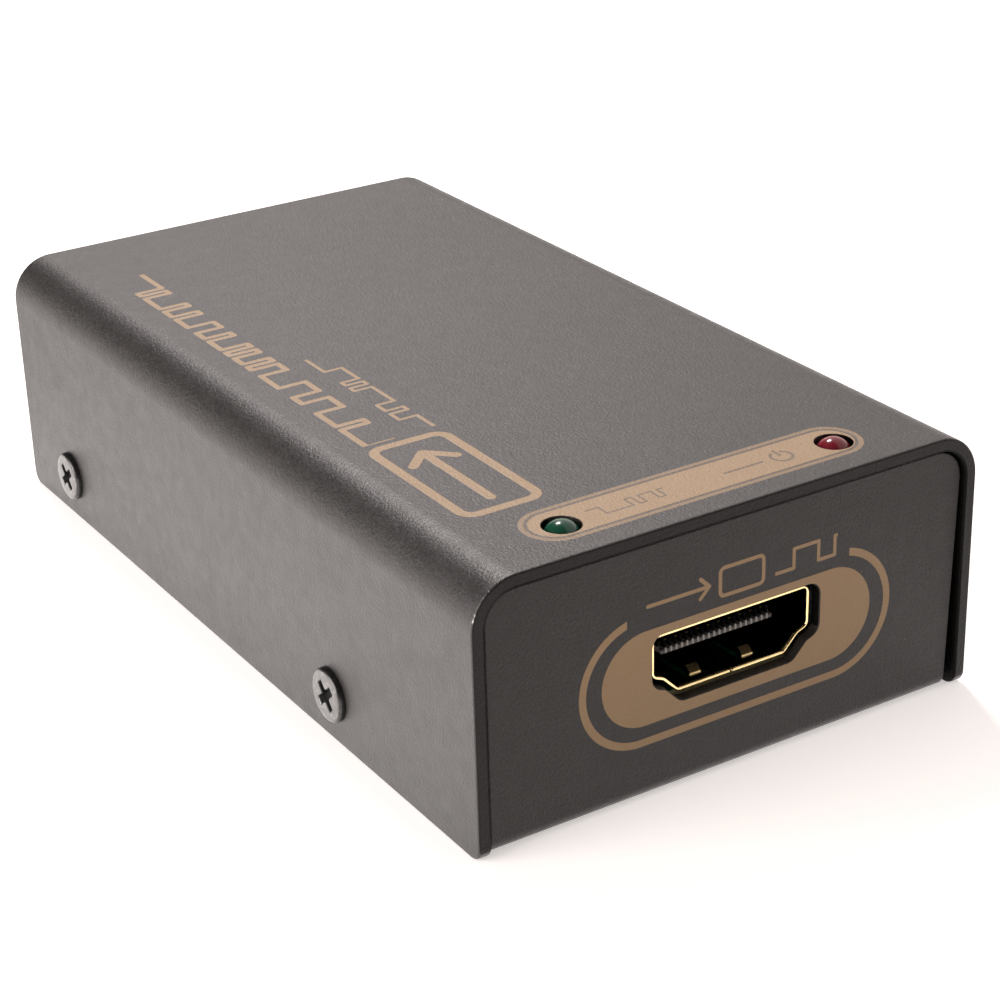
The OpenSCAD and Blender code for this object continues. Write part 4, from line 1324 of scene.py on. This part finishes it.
# %% Rows of ribs and contacts
tongue_grey = comb_plastic()
insulator_block, tongue = make_insulator()
ribs = row_piece(
    "tongue_ribs", make_rib("rib"), tongue_grey, CONTACT_COUNT + 1, CONTACT_PITCH, (PORT_X, 0, 0)
)
upper = row_piece(
    "contacts_upper", make_contact("contact", TONGUE_TOP), painted_shade_gold,
    UPPER_CONTACTS, 2 * CONTACT_PITCH, (PORT_X, 0, 0),
)
lower = row_piece(
    "contacts_lower", make_contact("contact", TONGUE_LOW + CONTACT_T), painted_shade_gold,
    CONTACT_COUNT - UPPER_CONTACTS, 2 * CONTACT_PITCH, (PORT_X, 0, 0),
)
tongue = joined(tongue, ribs)
tongue.name = "video_socket_tongue"
contacts = joined(upper, lower)
contacts.name = "video_socket_contact_rows"
finish_piece(insulator_block, "case", black_plastic, "black_plastic", "video_socket_insulator")
finish_piece(tongue, "case", tongue_grey, "black_plastic", "video_socket_insulator")
finish_piece(contacts, "case", painted_shade_gold, "gold_contact", "video_socket_contacts")

# %% [markdown]
# ## Screws
#
# The cover's screws have low flat heads with a cross recess. A head could be a turned
# profile with a boolean cut, but the cross is simple enough to draw: the head's top is
# a flat face between a circle and a twelve-cornered cross, and the recess's walls lean
# in towards its floor. One screw is made, and Geometry Nodes stand it at each hole.

# %% One screw
THREAD_PITCH, THREAD_DEPTH = 0.45, 0.16


def smooth_piece(name, bm, sharp):
    """A smooth object from a bmesh in millimetres, sharp past an angle in degrees."""
    bmesh.ops.scale(bm, vec=(MM, MM, MM), verts=bm.verts[:])
    bmesh.ops.recalc_face_normals(bm, faces=bm.faces[:])
    piece = new_piece(name, bm)
    for face in piece.data.polygons:
        face.use_smooth = True
    piece.data.set_sharp_from_angle(angle=math.radians(sharp))
    return piece


def circle_row(bm, radius, z, steps=64):
    turns = [2 * math.pi * step / steps for step in range(steps)]
    return [bm.verts.new((radius * math.cos(t), radius * math.sin(t), z)) for t in turns]


def cross_loop(reach, half, turn):
    """A cross with rounded inner corners, clockwise, so that the metal is outside."""
    corners = []
    for quarter in range(4):
        for x, y, r in ((half, half, 0.16), (reach, half, 0.08), (reach, -half, 0.08)):
            spot = Vector((x, y))
            spot.rotate(Matrix.Rotation(turn - quarter * math.pi / 2, 2))
            corners.append((spot.x, spot.y, r))
    return corner_loop(corners, steps=3)


def make_screw(name, shank_d, length, head_d, head_h, edge, cross, turn):
    """A screw standing on its tip side: the head's underside is at z = 0."""
    bm = bmesh.new()
    shank, head = shank_d / 2, head_d / 2
    rows = [circle_row(bm, shank * 0.7, -length), circle_row(bm, shank, -length + 0.5)]
    turns = int((length - 1.0) / THREAD_PITCH)
    for step in range(turns * 2):
        deep = THREAD_DEPTH if step % 2 else 0.0
        height = -length + 0.5 + THREAD_PITCH / 2 * (step + 0.5)
        rows.append(circle_row(bm, shank - deep, height))
    for radius, z in ((shank, -0.1), (shank, 0), (head - 0.05, 0), (head, 0.06)):
        rows.append(circle_row(bm, radius, z))
    for step in range(7):
        angle = math.pi / 2 * step / 6
        rows.append(circle_row(
            bm, head - edge * (1 - math.cos(angle)), head_h - edge * (1 - math.sin(angle))
        ))
    skin(bm, rows)
    bm.faces.new(list(reversed(rows[0])))
    reach, half, deep = cross
    mouth = [bm.verts.new((p.x, p.y, head_h)) for p in cross_loop(reach, half, turn)]
    worn = cross_loop(reach - 0.04, half - 0.04, turn)
    lip = [bm.verts.new((p.x, p.y, head_h - 0.05)) for p in worn]
    sunk = cross_loop(reach * 0.62, half * 0.66, turn)
    floor = [bm.verts.new((p.x, p.y, head_h - deep)) for p in sunk]
    cap(bm, [rows[-1], mouth])
    skin(bm, [mouth, lip, floor])
    bm.faces.new(floor)
    return smooth_piece(name, bm, 35)


# %% Screws at their holes
def screw_set(name, shape, material, values):
    """One screw on each side at each place along the case."""
    inputs = dict.fromkeys(("Half width", "Height", "Front place", "Rear place"), "Float")
    tree, identifiers, wires = tree_with_inputs(name + "_tree", inputs)
    half, height, front, rear = wires
    grid = add_node(
        tree, "GeometryNodeMeshGrid", Size_X=half * 2, Size_Y=rear - front,
        Vertices_X=2, Vertices_Y=2,
    )
    shift = half.node("ShaderNodeCombineXYZ", Y=(rear + front) * 0.5, Z=height)
    placed = add_node(tree, "GeometryNodeSetPosition", Geometry=grid, Offset=shift)
    where = add_node(tree, "GeometryNodeInputPosition")
    side = where.node("ShaderNodeSeparateXYZ", Vector=where).math("SIGN")
    lean = side.node("ShaderNodeCombineXYZ", Y=side * (math.pi / 2))
    copies_at(tree, placed, shape, material, Rotation=lean)
    return plain_piece(name, tree, identifiers, [value * MM for value in values], shape)


# %% Screw steel
def screw_steel():
    """Black oxide worn grey on the head's face, with painted shade that makes the cross near black
    and dull.
    """
    finish = Finish("screw_black")
    fine = finish.noise(0.3, 3.0, roughness=0.6, seed=6.0)
    away = (CASE_W / 2 + 0.6) - abs(finish.x)
    top = away.step(0.02, 0.1, 1.0, 0.0)
    rub = finish.noise(0.45, 2.0, seed=3.0).step(0.5, 0.7)
    colour = mix_colour(fine.step(0.3, 0.8), rgba(0.035, 0.034, 0.035), rgba(0.09, 0.088, 0.088))
    colour = mix_colour(top * 0.75, colour, rgba(0.16, 0.158, 0.155))
    colour = mix_colour(rub * top * 0.35, colour, rgba(0.4, 0.385, 0.38))
    axis = [(finish.y - place).length(finish.z - SCREW_Z) for place in SCREW_PLACES]
    middle = axis[0].least(axis[1]).step(1.3, 1.5, 1.0, 0.0)
    # painted shade: the cross is coloured near black, dull and not metallic, so no facet in it
    # lights up
    recess_painted_shade = middle * away.step(0.04, 0.12)
    colour = mix_colour(recess_painted_shade, colour, rgba(0.006, 0.006, 0.006))
    return finish.done(
        fixed={"Specular_IOR_Level": 0.12}, Base_Color=colour, Metallic=0.85 - recess_painted_shade * 0.85,
        Roughness=0.28 + fine.step(0.3, 0.8) * 0.15 + recess_painted_shade * 0.4,
        Normal=finish.bump(fine, 0.01),
    )


# %% The four cover screws
screw_black = screw_steel()
SCREW_TURN = math.radians(40)
one_screw = make_screw(
    "one_cover_screw", 2.5, 5.0, 4.5, 0.6, 0.35, (1.35, 0.4, 0.45), SCREW_TURN
)
cover_screws = screw_set(
    "cover_screw_set", one_screw, screw_black, (CASE_W / 2, SCREW_Z, *SCREW_PLACES)
)
finish_piece(cover_screws, "case", screw_black, "black_steel", "cover_screws")

# %% [markdown]
# ## The lights
#
# Each light is a 3 mm lens cast round a lead frame. The lens is turned from its real
# profile, with a flange at its foot. The tinted resin is dark when the light is off, so
# its colour is deep, and a clear gloss on top gives the small bright highlight. Its paler
# rim is a painted reflection that grows where the dome is seen edge-on.

# %% Lights
LENS_R, LENS_BASE, LENS_TIP, FLANGE_R, FLANGE_T = 1.45, 17.45, 22.75, 1.9, 1.0
DOME_STEPS = 15


def turned(name, profile, x, y, steps=64):
    """A solid of revolution about a vertical line, from (radius, height) points."""
    bm = bmesh.new()
    rows = [circle_row(bm, radius, z, steps) for radius, z in profile]
    for row in rows:
        for vert in row:
            vert.co.x += x
            vert.co.y += y
    skin(bm, rows)
    bm.faces.new(list(reversed(rows[0])))
    bm.faces.new(rows[-1])
    return smooth_piece(name, bm, 40)


def lens(name, x):
    """A domed lens with a flange."""
    profile = [(FLANGE_R - 0.1, LENS_BASE), (FLANGE_R, LENS_BASE + 0.1)]
    profile += [(FLANGE_R, LENS_BASE + FLANGE_T - 0.1), (FLANGE_R - 0.1, LENS_BASE + FLANGE_T)]
    profile += [(LENS_R + 0.08, LENS_BASE + FLANGE_T), (LENS_R, LENS_BASE + FLANGE_T + 0.08)]
    middle = LENS_TIP - LENS_R
    for step in range(DOME_STEPS):
        angle = math.pi / 2 * step / DOME_STEPS
        profile.append((LENS_R * math.cos(angle), middle + LENS_R * math.sin(angle)))
    profile.append((0.05, LENS_TIP))
    return turned(name, profile, x, LIGHT_Y)


# %% Tinted resin
def resin(name, deep, pale):
    """Tinted resin, deep in the body, with a painted reflection that pales it towards the dome's
    edge.
    """
    finish = Finish(name)
    cloud = finish.noise(0.8, 2.0, seed=2.0)
    # painted reflection: Layer Weight pales the resin where the dome is seen at a grazing angle
    painted_grazing_reflection = add_node(finish.tree, "ShaderNodeLayerWeight", Blend=0.35, out=1)
    colour = mix_colour(painted_grazing_reflection.step(0.35, 0.95) * 0.8 + cloud * 0.1, rgba(*deep), rgba(*pale))
    return finish.done(
        fixed={"Coat_Weight": 0.5, "Coat_Roughness": 0.03, "Specular_IOR_Level": 0.2},
        Base_Color=colour, Roughness=0.22 + cloud * 0.1,
        Normal=finish.bump(cloud, 0.002),
    )


# the pale colours are the painted reflection at the dome's rim
green_lens = resin("green_lens", (0.004, 0.04, 0.022), (0.02, 0.13, 0.08))
red_lens = resin("red_lens", (0.10, 0.004, 0.010), (0.38, 0.05, 0.07))
finish_piece(lens("status_lens", -LIGHT_X), "case", green_lens, "green_lens", "status_led")
finish_piece(lens("power_lens", LIGHT_X), "case", red_lens, "red_lens", "power_led")

# %% [markdown]
# ## The stage
#
# The photograph is a product shot on white: the ground clips to white, and only a faint
# shadow is left. The floor is a white diffuse sheet that also glows a little to the
# camera and in reflections, so it reaches white without more light on the object.

# %% Kinds of ray
def ray_kinds(tree):
    """Masks for rays from the camera, and for mirrored or transmitted rays."""
    seen = add_node(tree, "ShaderNodeLightPath")
    glossy, through = seen.sibling("Is Glossy Ray"), seen.sibling("Is Transmission Ray")
    return seen.sibling("Is Camera Ray"), glossy.most(through)


# %% Floor
FLOOR_HALF = 3.0
FLOOR_GLOW, FLOOR_FADE = 0.46, (0.2, 0.7)
MIRROR_GLOW, NEAR_GLOW, NEAR_FADE = 0.55, 1.5, (0.035, 0.085)
FLOOR_TINT = (1.0, 0.955, 0.93)


def add_floor():
    """The white floor under the object."""
    bm = bmesh.new()
    corners = [(-1, -1), (1, -1), (1, 1), (-1, 1)]
    bm.faces.new([bm.verts.new((x * FLOOR_HALF, y * FLOOR_HALF, 0)) for x, y in corners])
    floor = new_piece("floor", bm)
    finish = bpy.data.materials.new("floor_white")
    finish.use_nodes = True
    tree = finish.node_tree
    tree.nodes.clear()
    camera_ray, mirrored = ray_kinds(tree)
    place = add_node(tree, "ShaderNodeTexCoord", out=3)
    parts = place.node("ShaderNodeSeparateXYZ", Vector=place)
    away = parts.length(parts.sibling("Y"))
    glow = camera_ray * away.step(*FLOOR_FADE, FLOOR_GLOW, 1.0)
    glow = glow + mirrored * away.step(*NEAR_FADE, NEAR_GLOW, MIRROR_GLOW)
    matte = add_node(tree, "ShaderNodeBsdfDiffuse", Color=rgba(0.88, 0.865, 0.855))
    shine = add_node(tree, "ShaderNodeEmission", Color=rgba(*FLOOR_TINT), Strength=glow)
    both = add_node(tree, "ShaderNodeAddShader", i0=matte, i1=shine)
    plug(tree, tree.nodes.new("ShaderNodeOutputMaterial").inputs["Surface"], both)
    floor.data.materials.append(finish)
    print("floor", 2 * FLOOR_HALF, "m wide")


add_floor()


# %% Surround
AMBIENT, DARK_SIDE = 0.50, 0.04
WARM = (1.0, 0.92, 0.885)


def add_world():
    """White to the eye, a dimmer light on everything, and a dark left in reflections."""
    world = bpy.data.worlds.new("studio")
    bpy.context.scene.world = world
    world.use_nodes = True
    tree = world.node_tree
    tree.nodes.clear()
    camera_ray, mirrored = ray_kinds(tree)
    way = add_node(tree, "ShaderNodeTexCoord", out=0)
    across = way.node("ShaderNodeSeparateXYZ", Vector=way)
    dim = across.step(0.1, 0.36, DARK_SIDE, 1.0)
    strength = mirrored * (dim - AMBIENT) + AMBIENT
    strength = strength + camera_ray * (1 - strength)
    colour = mix_colour(camera_ray, rgba(*WARM), rgba(1, 1, 1))
    back = add_node(tree, "ShaderNodeBackground", Color=colour, Strength=strength)
    plug(tree, tree.nodes.new("ShaderNodeOutputWorld").inputs["Surface"], back)


add_world()
print("light from all round:", AMBIENT)


# %% Lamps
LAMP_AIM = Vector((0, 0, 10 * MM))
LAMP_TINT = (1.0, 0.935, 0.92)


def add_light(name, place, size, watts):
    """A soft box that points at the middle of the object."""
    data = bpy.data.lights.new(name, "AREA")
    data.shape = "RECTANGLE"
    data.size, data.size_y = size
    data.energy = watts
    data.color = LAMP_TINT
    lamp = bpy.data.objects.new(name, data)
    lamp.location = place
    lamp.rotation_euler = (LAMP_AIM - Vector(place)).to_track_quat("-Z", "Y").to_euler()
    bpy.context.scene.collection.objects.link(lamp)
    print(name, watts, "W")


add_light("key_back", place=(0.14, 0.53, 0.71), size=(0.2, 0.2), watts=6.5)
add_light("side_left", place=(-0.75, 0.05, 0.28), size=(0.6, 0.4), watts=7.0)

# %% View
bpy.context.scene.view_settings.view_transform = "Standard"
bpy.context.scene.view_settings.look = "None"

# %% [markdown]
# ## Dressing the rest
#
# Every node that keeps its CAD shape gets its finish here. The rear sockets show, so
# their moulded and plated bodies are replaced by copies with softly rounded edges.

# %% Finishes by node
FINISHES = {
    "board_standoffs": zinc_steel, "board_screws": zinc_steel,
    "main_board": board_laminate,
    "network_jack_housing": black_plastic, "network_jack_shield": nickel,
    "network_jack_wires": gold, "network_jack_tails": gold,
    "power_jack_housing": black_plastic, "power_jack_pin": nickel,
    "power_jack_spring": nickel, "power_jack_spring_terminal": tinned,
    "power_jack_switch_terminal": tinned, "led_leads": tinned, "led_spacers": white_plastic,
    "receiver_chip": chip_resin, "equaliser_chip": chip_resin, "memory_chip": chip_resin,
    "line_chokes": ferrite, "clock_crystal": nickel, "power_inductor": ferrite,
    "voltage_regulator": chip_resin, "electrolytic_capacitors": aluminium,
    "ceramic_capacitors": ceramic, "chip_resistors": chip_resin,
}
SOFT = {
    "network_jack_housing": ("case", "black_plastic", 0.1),
    "network_jack_shield": ("case", "nickel_shield", 0.08),
    "power_jack_housing": ("case", "black_plastic", 0.12),
    "power_jack_pin": ("case", "nickel_shield", 0.1),
}
for node, (body, slot, width) in SOFT.items():
    finish_piece(softened(node, width), body, FINISHES.pop(node), slot, node)
for node, finish in FINISHES.items():
    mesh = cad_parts[node].data
    mesh.materials.clear()
    mesh.materials.append(finish)
print(len(FINISHES), "nodes dressed")
